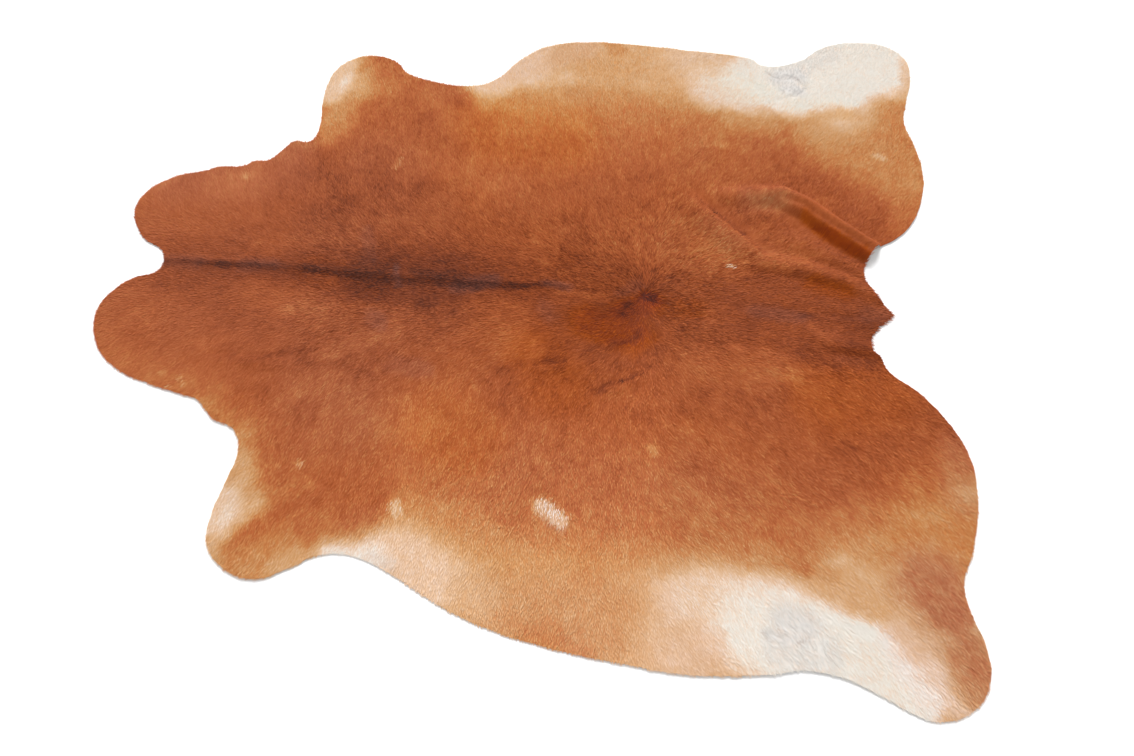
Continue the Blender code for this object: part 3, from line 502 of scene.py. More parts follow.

# Bloom is how dull and mauve the hair looks; below 0 it is livelier than its
# tone alone.  The patches hold it in their tone column.  On the fold tops it is
# painted sheen, and under two folds it deepens the colour of painted shade.
USUAL_BLOOM = 0.15
BLOOM_WAVES = (Wave(0.09, 0.12, 8),)
BLOOM = (
    Patch("neck bloom", -0.95, 0.00, -0.45, 0.00, 0.16, 0.26, 0.45, 1.0),
    Patch("shoulder bloom", -0.52, 0.14, -0.48, 0.36, 0.06, 0.16, 0.70, 0.9),
    Patch("near shoulder bloom", -0.50, -0.16, -0.46, -0.38, 0.07, 0.14, 0.80, 0.9),
    Patch("withers bloom", -0.40, -0.12, -0.26, -0.12, 0.03, 0.12, 0.60, 0.8),
    Patch("tail bloom", 0.60, -0.03, 0.94, -0.02, 0.03, 0.08, 0.10, 0.8),
    Patch("tail tip bloom", 0.900, -0.010, 0.960, -0.012, 0.012, 0.030, 1.20, 0.9),
    Patch("croup bloom", 0.240, -0.005, 0.280, 0.032, 0.008, 0.020, 1.20, 0.9),
    Patch("croup bloom", 0.050, -0.060, 0.060, -0.085, 0.010, 0.025, 1.20, 0.9),
    Patch("spine bloom", 0.050, 0.016, 0.110, 0.008, 0.004, 0.016, 2.20, 0.9),
    Patch("spine bloom", -0.200, -0.020, -0.110, 0.010, 0.012, 0.022, 2.60, 0.9),
    Patch("withers bloom", -0.370, 0.030, -0.355, -0.020, 0.004, 0.014, 5.00, 0.9),
    Patch("withers bloom", -0.470, 0.150, -0.450, 0.040, 0.008, 0.024, 1.60, 0.9),
    Patch("blade bloom", -0.400, -0.130, -0.380, -0.150, 0.010, 0.030, 1.80, 0.9),
    Patch("blade bloom", -0.330, -0.265, -0.240, -0.280, 0.010, 0.030, 1.20, 0.9),
    Patch("tail root bloom", 0.600, -0.020, 0.720, -0.030, 0.010, 0.025, 1.50, 0.9),
    Patch("tail root bloom", 0.820, -0.160, 0.900, -0.160, 0.010, 0.022, 1.30, 0.9),
    # Painted sheen: paler, greyer hair on the tops of the hind fold and the flank fold.
    Patch("hind fold bloom", 0.590, 0.348, 0.675, 0.352, 0.006, 0.055, 0.95, 0.9),
    Patch("flank bloom", 0.470, 0.250, 0.540, 0.190, 0.006, 0.050, 0.55, 0.8),
    Patch("near belly bloom", -0.30, -0.74, -0.06, -0.84, 0.05, 0.08, 0.60, 0.9),
    Patch("near flank bloom", 0.00, -0.58, 0.75, -0.62, 0.08, 0.15, 0.60, 0.9),
    Patch("near flank bloom", 0.20, -0.92, 0.46, -0.93, 0.02, 0.08, 1.20, 0.9),
    Patch("flank star bloom", 0.082, -0.616, 0.128, -0.646, 0.010, 0.020, 2.00, 0.9),
    Patch("near belly bloom", 0.00, -0.86, 0.34, -0.82, 0.03, 0.09, 1.00, 0.9),
    Patch("near leg bloom", 0.98, -0.74, 1.06, -0.95, 0.05, 0.09, 1.90, 0.9),
    Patch("near shank bloom", 0.90, -0.86, 0.97, -0.97, 0.02, 0.05, 1.60, 0.9),
    Patch("near rump bloom", 1.10, -0.38, 1.10, -0.50, 0.02, 0.07, 1.20, 0.9),
    Patch("far belly bloom", -0.20, 0.76, 0.08, 0.92, 0.02, 0.06, 1.20, 0.9),
    Patch("far throat bloom", -1.06, 0.28, -0.72, 0.42, 0.01, 0.07, 1.20, 0.9),
    Patch("far rib glow", -0.15, 0.56, 0.02, 0.54, 0.05, 0.16, -0.60, 0.9),
    Patch("far flank glow", 0.48, 0.84, 0.62, 0.78, 0.03, 0.06, -0.50, 0.9),
    Patch("far heel glow", 0.74, 0.72, 0.88, 0.73, 0.02, 0.05, -0.50, 0.9),
    Patch("far cheek dull", -1.02, 0.26, -0.72, 0.34, 0.02, 0.12, 1.00, 0.9),
    Patch("near thigh glow", 0.78, -0.26, 0.90, -0.24, 0.04, 0.12, -0.60, 0.9),
    Patch("near back glow", 0.04, -0.20, 0.10, -0.30, 0.04, 0.08, -0.60, 0.9),
    Patch("croup glow", 0.16, -0.10, 0.28, -0.12, 0.03, 0.05, -1.60, 0.9),
    Patch("whorl glow", 0.25, -0.048, 0.325, -0.025, 0.015, 0.04, -1.90, 0.9),
    Patch("whorl glow", 0.300, -0.004, 0.330, -0.012, 0.010, 0.020, -2.80, 1.0),
    # Deeper, livelier colour of the painted shade under the far tail fold.
    Patch("far tail glow", 0.76, 0.072, 0.84, 0.052, 0.006, 0.030, -1.30, 0.9),
    Patch("tail root glow", 0.38, -0.030, 0.44, -0.030, 0.010, 0.040, -0.70, 0.9),
    Patch("crest bloom", -0.99, -0.002, -0.91, 0.000, 0.006, 0.030, 1.50, 0.9),
    Patch("crest bloom", -0.77, 0.000, -0.70, 0.010, 0.006, 0.030, 1.80, 0.9),
    Patch("spine glow", -0.60, 0.000, -0.40, -0.020, 0.020, 0.050, 0.00, 0.9),
    Patch("near rib glow", -0.16, -0.42, -0.12, -0.46, 0.05, 0.10, -0.30, 0.9),
    # Deeper, livelier colour of the painted shade on the hind fold's near face.
    Patch("hind fold glow", 0.745, 0.308, 0.800, 0.256, 0.002, 0.024, -1.30, 1.0),
    Patch("hind fold glow", 0.780, 0.264, 0.900, 0.176, 0.004, 0.020, -2.20, 1.0),
)

# How much the coat's locks differ from one another, in the tone column; 1 is
# the usual.
LIVELINESS = (
    Patch("neck", -1.05, 0.00, -0.78, 0.00, 0.30, 0.16, 0.62, 1.0),
    Patch("shoulder", -0.52, 0.30, -0.46, -0.25, 0.08, 0.12, 1.10, 1.0),
    Patch("croup", 0.25, 0.02, 0.45, 0.14, 0.12, 0.20, 1.40, 1.0),
    Patch("near croup", 0.06, -0.10, 0.28, -0.12, 0.06, 0.08, 0.80, 1.0),
    Patch("tail", 0.60, -0.03, 0.95, -0.02, 0.06, 0.10, 0.70, 1.0),
    Patch("hind fold", 0.735, 0.310, 0.910, 0.180, 0.030, 0.030, 0.45, 1.0),
    Patch("flank crease", 0.440, 0.352, 0.640, 0.170, 0.010, 0.020, 0.50, 1.0),
    Patch("near flank", -0.05, -0.58, 0.60, -0.60, 0.08, 0.14, 1.12, 1.0),
    Patch("near belly", -0.20, -0.82, 0.45, -0.88, 0.08, 0.14, 0.85, 1.0),
)

# Marks of mixed hair: a share of the locks within reach takes the tone.
Fleck = namedtuple("Fleck", "name along across end_along end_across reach blend tone share")
FLECKS = (
    Fleck("flank star", 0.082, -0.616, 0.128, -0.646, 0.008, 0.030, 1.00, 0.80),
    Fleck("elbow star", -0.260, -0.646, -0.252, -0.656, 0.008, 0.020, 0.93, 0.75),
    Fleck("forearm star", -0.510, -0.556, -0.500, -0.560, 0.003, 0.012, 0.92, 0.60),
    Fleck("rib star", 0.435, -0.395, 0.440, -0.395, 0.002, 0.006, 0.90, 0.50),
    Fleck("shoulder star", -0.425, 0.372, -0.418, 0.405, 0.004, 0.010, 0.92, 0.45),
    Fleck("cheek fleck", -0.902, -0.344, -0.898, -0.346, 0.002, 0.006, 0.90, 0.70),
    Fleck("cheek fleck", -0.857, -0.352, -0.852, -0.354, 0.002, 0.006, 0.90, 0.70),
    Fleck("cheek fleck", -0.842, -0.368, -0.838, -0.372, 0.002, 0.006, 0.90, 0.70),
    Fleck("cheek fleck", -0.872, -0.380, -0.868, -0.382, 0.002, 0.006, 0.90, 0.60),
    Fleck("rump star", 0.968, 0.548, 0.994, 0.542, 0.008, 0.012, 0.88, 0.60),
    Fleck("tail fleck", 0.530, 0.112, 0.545, 0.112, 0.002, 0.004, 0.92, 1.00),
)

# Thin hair, where grey skin shows through.  Its tone isn't used.
BARE_SPOTS = (
    Fleck("far leg skin", 0.700, 0.840, 0.750, 0.855, 0.014, 0.050, 1.0, 0.70),
    Fleck("far leg skin", 0.720, 0.800, 0.750, 0.790, 0.012, 0.030, 1.0, 0.70),
    Fleck("far leg thin hair", 0.720, 0.870, 0.850, 0.960, 0.020, 0.050, 1.0, 0.33),
    Fleck("near leg skin", 0.650, -0.840, 0.690, -0.850, 0.010, 0.055, 1.0, 0.62),
    Fleck("near leg skin", 0.610, -0.872, 0.690, -0.880, 0.004, 0.030, 1.0, 0.62),
    Fleck("near leg thin hair", 0.640, -0.900, 0.720, -0.900, 0.020, 0.050, 1.0, 0.45),
    Fleck("near armpit skin", -0.290, -0.770, -0.250, -0.782, 0.004, 0.030, 1.0, 0.22),
)

# Dark scratches on that skin.  Their tone isn't used either.
SCRATCHES = (
    Fleck("far ring", 0.662, 0.862, 0.676, 0.846, 0.001, 0.005, 1.0, 0.9),
    Fleck("far ring", 0.676, 0.846, 0.700, 0.838, 0.001, 0.005, 1.0, 0.7),
    Fleck("far ring", 0.715, 0.858, 0.752, 0.846, 0.001, 0.005, 1.0, 0.6),
    Fleck("far ring", 0.752, 0.846, 0.772, 0.818, 0.001, 0.005, 1.0, 0.8),
    Fleck("far ring", 0.772, 0.818, 0.772, 0.796, 0.001, 0.005, 1.0, 0.7),
    Fleck("far ring", 0.772, 0.796, 0.748, 0.772, 0.001, 0.005, 1.0, 0.7),
    Fleck("far ring", 0.748, 0.772, 0.692, 0.748, 0.001, 0.005, 1.0, 0.5),
    Fleck("near scratch", 0.594, -0.866, 0.606, -0.886, 0.001, 0.006, 1.0, 0.7),
    Fleck("near scratch", 0.606, -0.886, 0.630, -0.888, 0.001, 0.004, 1.0, 0.4),
    Fleck("near scratch", 0.628, -0.858, 0.640, -0.866, 0.001, 0.004, 1.0, 0.5),
    Fleck("near scratch", 0.672, -0.886, 0.688, -0.880, 0.001, 0.005, 1.0, 0.6),
    Fleck("near scratch", 0.692, -0.874, 0.710, -0.870, 0.001, 0.005, 1.0, 0.45),
    Fleck("armpit scratch", -0.300, -0.762, -0.262, -0.776, 0.001, 0.005, 1.0, 0.5),
)

# The ragged end of the hide beside the tail tip, and the bay on its far side,
# where longer hair hangs over.
TAIL_FRINGE = Fleck("tail fringe", 0.960, -0.020, 0.905, -0.105, 0.006, 0.016, 1.0, 1.0)
TAIL_BAY = Fleck("tail bay", 0.905, 0.200, 0.925, 0.050, 0.006, 0.020, 1.0, 0.4)
# How far the ragged end's teeth stand out, and their wave, whose tops are cut
# off to make them blunt.
TEAR_DEPTH = 0.0035
TEAR_WAVES = (Wave(0.009, 2.0, 33),)
# The waver of the whole cut edge, which was cut by hand.
EDGE_WAVES = (Wave(0.045, 0.0014, 31), Wave(0.014, 0.0006, 32))

# ---------------------------------------------------------------------------
# The flow of the coat
# ---------------------------------------------------------------------------

# The hair grows out of a whorl on the croup, and radiates from it this far out.
WHORL = (0.305, -0.004)
NEAR_WHORL = 0.12
# How far from the spine it still lies along it, and how soon it runs outwards.
ALONG_SPINE = 0.25
OUT_FROM_SPINE = 0.16
# How much it leans towards the neck before the whorl, and towards the tail
# behind it.
NECK_LEAN = 0.25
TAIL_LEAN = 0.50
# The near side leans more towards the tail: from this far out and over this
# distance, and from this far along and over that distance.
NEAR_SIDE_LEAN = 0.20
NEAR_SIDE_OUT = (0.2, 0.2)
NEAR_SIDE_ALONG = (-0.5, 0.3)
# How the hair's direction wavers, in radians.
FLOW_WAVES = (Wave(0.08, 0.16, 21), Wave(0.03, 0.10, 22))

# ---------------------------------------------------------------------------
# Working net
# ---------------------------------------------------------------------------

# The net's step, and how far it reaches past the cut edge.  It is read no
# farther than just inside its last square.
NET_STEP = 0.005
NET_MARGIN = 0.06
NET_END = 1.001
# The cut edge's spacing, and within what distance the solid's corners are one.
RIM_SPACING = 0.005
RIM_MERGE = 1e-5
# A face whose normal points down by more than this is on the underside.
WALL_TILT = 0.3
# The edge keeps a point where it turns more than this.
TIP_ANGLE = math.radians(40.0)
# Ask the filling for triangles inside the edge, and merge places this near.
FILL_INSIDE = 1
CDT_MERGE = 1e-6
# Large factors that scatter the values of a wave's net, and the bits kept.
SCATTER_COLUMN, SCATTER_ROW = 374761393, 668265263
SCATTER_SEED, SCATTER_AGAIN = 2246822519, 1274126177
WORD_BITS = 0xFFFFFFFF
VALUE_BITS = 0xFFFFFF


def smooth_step(share):
    """Rise from 0 to 1 with level ends."""
    share = np.clip(share, 0.0, 1.0)
    return share * share * (3.0 - 2.0 * share)


def net_value(column, row, seed):
    """A steady random value from 0 to 1 for each crossing of a square net."""
    mixed = column.astype(np.int64) * SCATTER_COLUMN + row.astype(np.int64) * SCATTER_ROW
    mixed = (mixed + seed * SCATTER_SEED) & WORD_BITS
    mixed = ((mixed ^ (mixed >> 13)) * SCATTER_AGAIN) & WORD_BITS
    return ((mixed ^ (mixed >> 16)) & VALUE_BITS) / float(VALUE_BITS)


def wander(x, y, size, seed):
    """Smooth random values from -1 to 1 that change over a given size."""
    column, row = np.floor(x / size), np.floor(y / size)
    across, up = smooth_step(x / size - column), smooth_step(y / size - row)
    low = net_value(column, row, seed) * (1.0 - across)
    low += net_value(column + 1, row, seed) * across
    high = net_value(column, row + 1, seed) * (1.0 - across)
    high += net_value(column + 1, row + 1, seed) * across
    return 2.0 * (low * (1.0 - up) + high * up) - 1.0


def summed(x, y, waves):
    """The sum of some waves at each place."""
    return sum(wave.rise * wander(x, y, wave.size, wave.seed) for wave in waves)


def off_line(x, y, start, end):
    """How far along a line each place is, as a share, and how far off it."""
    run_x, run_y = end[0] - start[0], end[1] - start[1]
    length = run_x * run_x + run_y * run_y
    share = ((x - start[0]) * run_x + (y - start[1]) * run_y) / length
    share = np.clip(share, 0.0, 1.0)
    return share, x - start[0] - share * run_x, y - start[1] - share * run_y


def from_line(x, y, mark):
    """Distance of each place from a mark's line."""
    ends = (mark.along, mark.across), (mark.end_along, mark.end_across)
    _, off_x, off_y = off_line(x, y, *ends)
    return np.hypot(off_x, off_y)


def cover(x, y, mark):
    """How fully a mark covers each place, from 0 to 1."""
    return smooth_step(1.0 - (from_line(x, y, mark) - mark.reach) / mark.blend)


def blended(values, x, y, marks):
    """Lay the marks over the values in turn."""
    for mark in marks:
        weight = mark.strength * cover(x, y, mark)
        values = values + (mark.tone - values) * weight
    return values


def ragged(x, y):
    """Shift places a little, so that no mark has a smooth border."""
    off_spine = smooth_step((np.abs(y) - SPINE_EDGE) / SPINE_BLEND)
    off_spine = SPINE_STRAY + (1.0 - SPINE_STRAY) * off_spine
    shift_y = summed(x, y, STRAYS_ACROSS) * off_spine + MARK_SHIFT
    return x + summed(x, y, STRAYS_ALONG), y + shift_y


def calmed(strength, tone, calms):
    """Less of a strength where the hair is pale or dark."""
    for calm in calms:
        strength = strength * (1.0 - calm.share * smooth_step((tone - calm.start) / calm.over))
    return strength


def streak(x, y):
    """Uneven shade drawn out along the hair."""
    angle = coat_flow(x, y)
    run_x, run_y = np.cos(angle), np.sin(angle)
    shade = np.zeros_like(x)
    for step in STREAK_STEPS:
        shade += summed(x + step * run_x, y + step * run_y, STREAKS)
    return shade / len(STREAK_STEPS)


def coat_tone(x, y):
    """The coat's tone at each place, with painted shade and highlights on its folds and creases.
    """
    x, y = ragged(x, y)
    steps = np.array(FLANK_FADE)
    tone = np.interp(np.abs(y), steps[:, 0], steps[:, 1])
    tone = blended(tone, x, y, PATCHES)
    for cloud in CLOUDS:
        tone = tone + cloud.change * cover(x, y, cloud)
    strength = calmed(1.0, tone, SHADE_CALMS)
    return tone + (summed(x, y, MOTTLES) + streak(x, y)) * strength * coat_life(x, y)


def coat_life(x, y):
    """How much the coat differs from lock to lock at each place."""
    return blended(np.ones_like(x), x, y, LIVELINESS)


def coat_bloom(x, y):
    """How dull the coat is at each place, with painted sheen on the fold tops and a deeper colour
    in the painted shade of two folds.
    """
    x, y = ragged(x, y)
    bloom = blended(np.full_like(x, USUAL_BLOOM), x, y, BLOOM)
    return bloom + summed(x, y, BLOOM_WAVES)


def mixed_share(x, y, flecks):
    """The share of locks that a group of flecks takes, and their tone."""
    share, tone = np.zeros_like(x), np.zeros_like(x)
    for fleck in flecks:
        here = fleck.share * cover(x, y, fleck)
        tone = np.where(here > share, fleck.tone, tone)
        share = np.maximum(share, here)
    return share, tone


def coat_flow(x, y):
    """Which way the hair lies, as an angle from +X."""
    off_x, off_y = x - WHORL[0], y - WHORL[1]
    out = np.abs(off_y)
    along = off_x / np.hypot(off_x, NEAR_WHORL)
    lean = np.where(off_x < 0.0, NECK_LEAN, TAIL_LEAN)
    flow_x = along * (lean + np.exp(-(out / ALONG_SPINE) ** 2))
    near_side = smooth_step((-y - NEAR_SIDE_OUT[0]) / NEAR_SIDE_OUT[1])
    behind_shoulder = smooth_step((x - NEAR_SIDE_ALONG[0]) / NEAR_SIDE_ALONG[1])
    flow_x += NEAR_SIDE_LEAN * near_side * behind_shoulder
    flow_y = np.sign(off_y) * (1.0 - np.exp(-(out / OUT_FROM_SPINE) ** 2))
    radial = np.exp(-(np.hypot(off_x, off_y) / NEAR_WHORL) ** 2)
    flow_x = flow_x * (1.0 - radial) + radial * off_x / NEAR_WHORL
    flow_y = flow_y * (1.0 - radial) + radial * off_y / NEAR_WHORL
    angle = np.arctan2(flow_y, flow_x)
    for wave in FLOW_WAVES:
        angle = angle + wave.rise * wander(x, y, wave.size, wave.seed)
    return angle


def fold_height(x, y, sections):
    """Height of one fold at each place."""
    nearest = np.full_like(x, np.inf)
    height = np.zeros_like(x)
    for start, end in zip(sections, sections[1:]):
        share, off_x, off_y = off_line(x, y, start[:2], end[:2])
        distance = np.hypot(off_x, off_y)
        far_slope = start.far_slope + (end.far_slope - start.far_slope) * share
        near_slope = start.near_slope + (end.near_slope - start.near_slope) * share
        crest = start.height + (end.height - start.height) * share
        turn = (end.along - start.along) * off_y - (end.across - start.across) * off_x
        near_down = (distance / near_slope - CREST_SHARE) / (1.0 - CREST_SHARE)
        down = np.where(turn > 0.0, distance / far_slope, near_down)
        here = crest * (1.0 - smooth_step(down))
        height = np.where(distance < nearest, here, height)
        nearest = np.minimum(distance, nearest)
    return height


def lie_of_leather(x, y):
    """Height of the leather's underside above the floor at each place."""
    height = np.zeros_like(x)
    for sections in FOLDS.values():
        height = np.maximum(height, fold_height(x, y, sections))
    for wave in SWELLS:
        height = height + wave.rise * (0.5 + 0.5 * wander(x, y, wave.size, wave.seed))
    for crease in CREASES:
        share = np.exp(-((from_line(x, y, crease) / crease.width) ** 2))
        height = height + crease.rise * share
    return np.maximum(height, 0.0)


# ---------------------------------------------------------------------------
# The cut edge
# ---------------------------------------------------------------------------


def solid_rim():
    """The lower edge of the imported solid: places in turn, measured from the spine."""
    solid = bmesh.new()
    solid.from_mesh(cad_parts[HIDE_NODE].data)
    bmesh.ops.remove_doubles(solid, verts=solid.verts[:], dist=RIM_MERGE)
    solid.normal_update()
    neighbours = {}
    for edge in solid.edges:
        tilts = [face.normal.z for face in edge.link_faces]
        if min(tilts) < -WALL_TILT and max(tilts) >= -WALL_TILT:
            for first, second in (edge.verts, reversed(edge.verts)):
                neighbours.setdefault(first, []).append(second)
    if any(len(found) != 2 for found in neighbours.values()):
        raise RuntimeError("the solid's lower edge isn't one closed line")
    start = min(neighbours, key=lambda vertex: vertex.co.x)
    ring, came_from, here = [], None, start
    while not ring or here is not start:
        ring.append((here.co.x + SPINE_TO_CENTRE[0], here.co.y + SPINE_TO_CENTRE[1]))
        onward = [vertex for vertex in neighbours[here] if vertex is not came_from]
        came_from, here = here, onward[0]
    solid.free()
    if len(ring) != len(neighbours):
        raise RuntimeError("the solid's lower edge is more than one line")
    return np.array(ring)


def turned_at(ring):
    """How sharply the ring turns at each of its places."""
    before = ring - np.roll(ring, 1, axis=0)
    after = np.roll(ring, -1, axis=0) - ring
    cross = before[:, 0] * after[:, 1] - before[:, 1] * after[:, 0]
    return np.abs(np.arctan2(cross, (before * after).sum(1)))


def smooth_ring(ring):
    """A smooth line through the ring's places, closely and evenly divided."""
    ahead = np.roll(ring, -1, axis=0)
    slope = (ahead - np.roll(ring, 1, axis=0)) / 2.0
    sharp = turned_at(ring) > TIP_ANGLE
    leave = np.where(sharp[:, None], ahead - ring, slope)
    arrive = np.where(sharp[:, None], ring - np.roll(ring, 1, axis=0), slope)
    arrive = np.roll(arrive, -1, axis=0)
    points = []
    for start, end, out, into in zip(ring, ahead, leave, arrive):
        steps = max(int(round(np.hypot(*(end - start)) / RIM_SPACING)), 1)
        t = (np.arange(steps) / steps)[:, None]
        points.append(
            (2 * t**3 - 3 * t**2 + 1) * start
            + (t**3 - 2 * t**2 + t) * out
            + (3 * t**2 - 2 * t**3) * end
            + (t**3 - t**2) * into
        )
    return np.concatenate(points)


@lru_cache(maxsize=None)
def cut_edge():
    """The leather's outline, with the small waver of a cut made by hand."""
    ring = smooth_ring(solid_rim())
    run = np.roll(ring, -1, axis=0) - np.roll(ring, 1, axis=0)
    outward = np.stack([run[:, 1], -run[:, 0]], 1) / np.hypot(*run.T)[:, None]
    area = (ring[:, 0] * np.roll(ring[:, 1], -1) - ring[:, 1] * np.roll(ring[:, 0], -1)).sum()
    outward *= np.sign(area)
    x, y = ring.T
    torn = np.clip(summed(x, y, TEAR_WAVES), -1.0, 1.0)
    waver = summed(x, y, EDGE_WAVES) + TEAR_DEPTH * torn * cover(x, y, TAIL_FRINGE)
    return ring + outward * waver[:, None]


# ---------------------------------------------------------------------------
# The net of heights and distances from the edge
# ---------------------------------------------------------------------------


class Net:
    """Values on a square net over the hide, read between its crossings."""

    def __init__(self, ring):
        """Lay the net over the ring, and work out its heights and distances."""
        low, high = ring.min(0) - NET_MARGIN, ring.max(0) + NET_MARGIN
        self.low = low
        columns, rows = np.ceil((high - low) / NET_STEP).astype(int) + 1
        self.x = low[0] + NET_STEP * np.arange(columns)
        self.y = low[1] + NET_STEP * np.arange(rows)
        self.mesh_x, self.mesh_y = np.meshgrid(self.x, self.y)
        self.height = softened(lie_of_leather(self.mesh_x, self.mesh_y))
        self.inward = self.inward_of(ring)

    def inward_of(self, ring):
        """Distance in from the cut edge, below 0 outside it."""
        tree = KDTree(len(ring))
        for index, place in enumerate(ring):
            tree.insert((place[0], place[1], 0.0), index)
        tree.balance()
        found = np.array([
            tree.find((x, y, 0.0))[2]
            for x, y in zip(self.mesh_x.ravel(), self.mesh_y.ravel())
        ]).reshape(self.mesh_x.shape)
        return np.where(self.within(ring), found, -found)

    def within(self, ring):
        """Even-odd test of every crossing, a row at a time."""
        x, y = ring.T
        next_x, next_y = np.roll(x, -1), np.roll(y, -1)
        inside = np.zeros(self.mesh_x.shape, bool)
        for row, level in enumerate(self.y):
            met = (y > level) != (next_y > level)
            share = (level - y[met]) / (next_y[met] - y[met])
            cuts = np.sort(x[met] + share * (next_x[met] - x[met]))
            inside[row] = np.searchsorted(cuts, self.x) % 2 == 1
        return inside

    def read(self, values, x, y):
        """Values at these places, in proportion between the crossings."""
        column = np.clip((x - self.low[0]) / NET_STEP, 0, len(self.x) - NET_END)
        row = np.clip((y - self.low[1]) / NET_STEP, 0, len(self.y) - NET_END)
        left, below = column.astype(int), row.astype(int)
        across, up = column - left, row - below
        low = values[below, left] * (1 - across) + values[below, left + 1] * across
        high = values[below + 1, left] * (1 - across) + values[below + 1, left + 1] * across
        return low * (1 - up) + high * up


def softened(values):
    """Each value averaged with its neighbours, which count half as much."""
    for axis in (0, 1):
        values = 0.5 * values + 0.25 * (np.roll(values, 1, axis) + np.roll(values, -1, axis))
    return values


@lru_cache(maxsize=None)
def hide_net():
    """The net, worked out once."""
    return Net(cut_edge())


# ---------------------------------------------------------------------------
# Settings
# ---------------------------------------------------------------------------


class HideLeatherSettings(bpy.types.PropertyGroup):
    """Sizes and colours of the leather."""

    thickness: bpy.props.FloatProperty(
        name="Thickness", description="Thickness of the tanned leather",
        default=0.0020, min=0.001, max=0.005, unit="LENGTH",
    )
    spacing: bpy.props.FloatProperty(
        name="Spacing", description="Distance between the sheet's points where it lies flat",
        default=0.012, min=0.006, max=0.05, unit="LENGTH",
    )
    fold_spacing: bpy.props.FloatProperty(
        name="Fold spacing", description="Distance between the sheet's points on its folds",
        default=0.0065, min=0.004, max=0.03, unit="LENGTH",
    )
    skin_spacing: bpy.props.FloatProperty(
        name="Skin spacing", description="Distance between the sheet's points on bare skin",
        default=0.003, min=0.002, max=0.03, unit="LENGTH",
    )
    suede: bpy.props.FloatVectorProperty(
        name="Suede", description="Colour of the flesh side",
        default=(0.60, 0.53, 0.46, 1.0), size=4, subtype="COLOR",
    )


class HideCoatSettings(bpy.types.PropertyGroup):
    """Sizes and colours of the coat."""

    locks: bpy.props.IntProperty(
        name="Locks", description="Number of small locks of hair",
        default=262000, min=1000, max=266000,
    )
    length: bpy.props.FloatProperty(
        name="Length", description="Usual length of a lock",
        default=0.0115, min=0.004, max=0.05, unit="LENGTH",
    )
    width: bpy.props.FloatProperty(
        name="Width", description="Usual width of a lock",
        default=0.0017, min=0.0005, max=0.01, unit="LENGTH",
    )
    depth: bpy.props.FloatProperty(
        name="Depth", description="Usual height of the tips above the leather",
        default=0.0026, min=0.0005, max=0.01, unit="LENGTH",
    )
    overhang: bpy.props.FloatProperty(
        name="Overhang", description="How far the hair reaches past the cut edge",
        default=0.0070, min=0.0, max=0.03, unit="LENGTH",
    )
    bloom: bpy.props.FloatVectorProperty(
        name="Bloom", description="Tint of the dullest hair, as shares of its brightness",
        default=(1.27, 0.91, 0.97, 1.0), size=4, min=0.0, max=2.0, subtype="COLOR",
    )
    skin: bpy.props.FloatVectorProperty(
        name="Skin", description="Colour of the skin that shows through thin hair",
        default=(0.470, 0.458, 0.452, 1.0), size=4, subtype="COLOR",
    )
    scratch: bpy.props.FloatVectorProperty(
        name="Scratch", description="Colour of the scratches on the bare skin",
        default=(0.20, 0.18, 0.19, 1.0), size=4, subtype="COLOR",
    )
    roughness: bpy.props.FloatProperty(
        name="Roughness", description="Roughness of the hair",
        default=0.62, min=0.0, max=1.0, subtype="FACTOR",
    )


class HideStageSettings(bpy.types.PropertyGroup):
    """Floor, lights and camera."""

    floor: bpy.props.FloatVectorProperty(
        name="Floor", description="Colour of the floor",
        default=(0.86, 0.86, 0.86, 1.0), size=4, subtype="COLOR",
    )
    sky: bpy.props.FloatProperty(
        name="Sky", description="Strength of the even light from all round",
        default=0.81, min=0.0, max=5.0,
    )
    key: bpy.props.FloatProperty(
        name="Key", description="Strength of the soft light from beyond the far flank",
        default=3.85, min=0.0, max=20.0,
    )
    lens: bpy.props.FloatProperty(
        name="Lens", description="Focal length of the camera on a 36 mm frame, in millimetres",
        default=28.0, min=10.0, max=200.0, unit="CAMERA",
    )


# ---------------------------------------------------------------------------
# Materials
# ---------------------------------------------------------------------------

# The coat's colours by tone, as sRGB shares.
TONE_COLOURS = (
    (0.00, (0.305, 0.162, 0.122)),
    (0.10, (0.490, 0.236, 0.132)),
    (0.20, (0.588, 0.292, 0.158)),
    (0.30, (0.658, 0.338, 0.182)),
    (0.40, (0.705, 0.380, 0.212)),
    (0.50, (0.742, 0.429, 0.240)),
    (0.60, (0.774, 0.497, 0.286)),
    (0.70, (0.799, 0.577, 0.356)),
    (0.80, (0.834, 0.661, 0.476)),
    (0.90, (0.874, 0.746, 0.628)),
    (0.95, (0.898, 0.820, 0.742)),
    (1.00, (0.892, 0.870, 0.832)),
)
# How much light falls on the coat in the studio, and how much its gloss sends
# back: the colours above are as they look there.
STUDIO_LIGHT = 1.15
GLOSS_LIGHT = 0.012
# The share of the bloom's colour where the bloom is 1.
BLOOM_SHARE = 0.10

COLOUR_GROUP = "Coat colour"
# The group's inputs and their defaults.
COLOUR_INPUTS = (("Tone", 0.4), ("Bloom", 0.0), ("Strand", 0.5), ("Tip", 0.5))
# Fine mottle in the hair: its noise, and how much it changes the tone.
HAIR_NOISE_SCALE = 42.0
HAIR_NOISE_DETAIL = 4.0
HAIR_NOISE_CHANGE = 0.10
# How much a lock's own shade changes its tone: by the first share up to the
# first tone, and by the second share from the second tone on.
STRAND_TONES = (0.5, 0.8)
STRAND_CHANGES = (0.235, 0.11)
# How much lighter a lock's tip is than its root.
TIP_CHANGE = 0.09
# The hair next to the skin is coloured as one darker lock: close underhair, and painted shade in
# the gaps between the locks.
UNDERHAIR_STRAND = 0.35
UNDERHAIR_TIP = 0.3
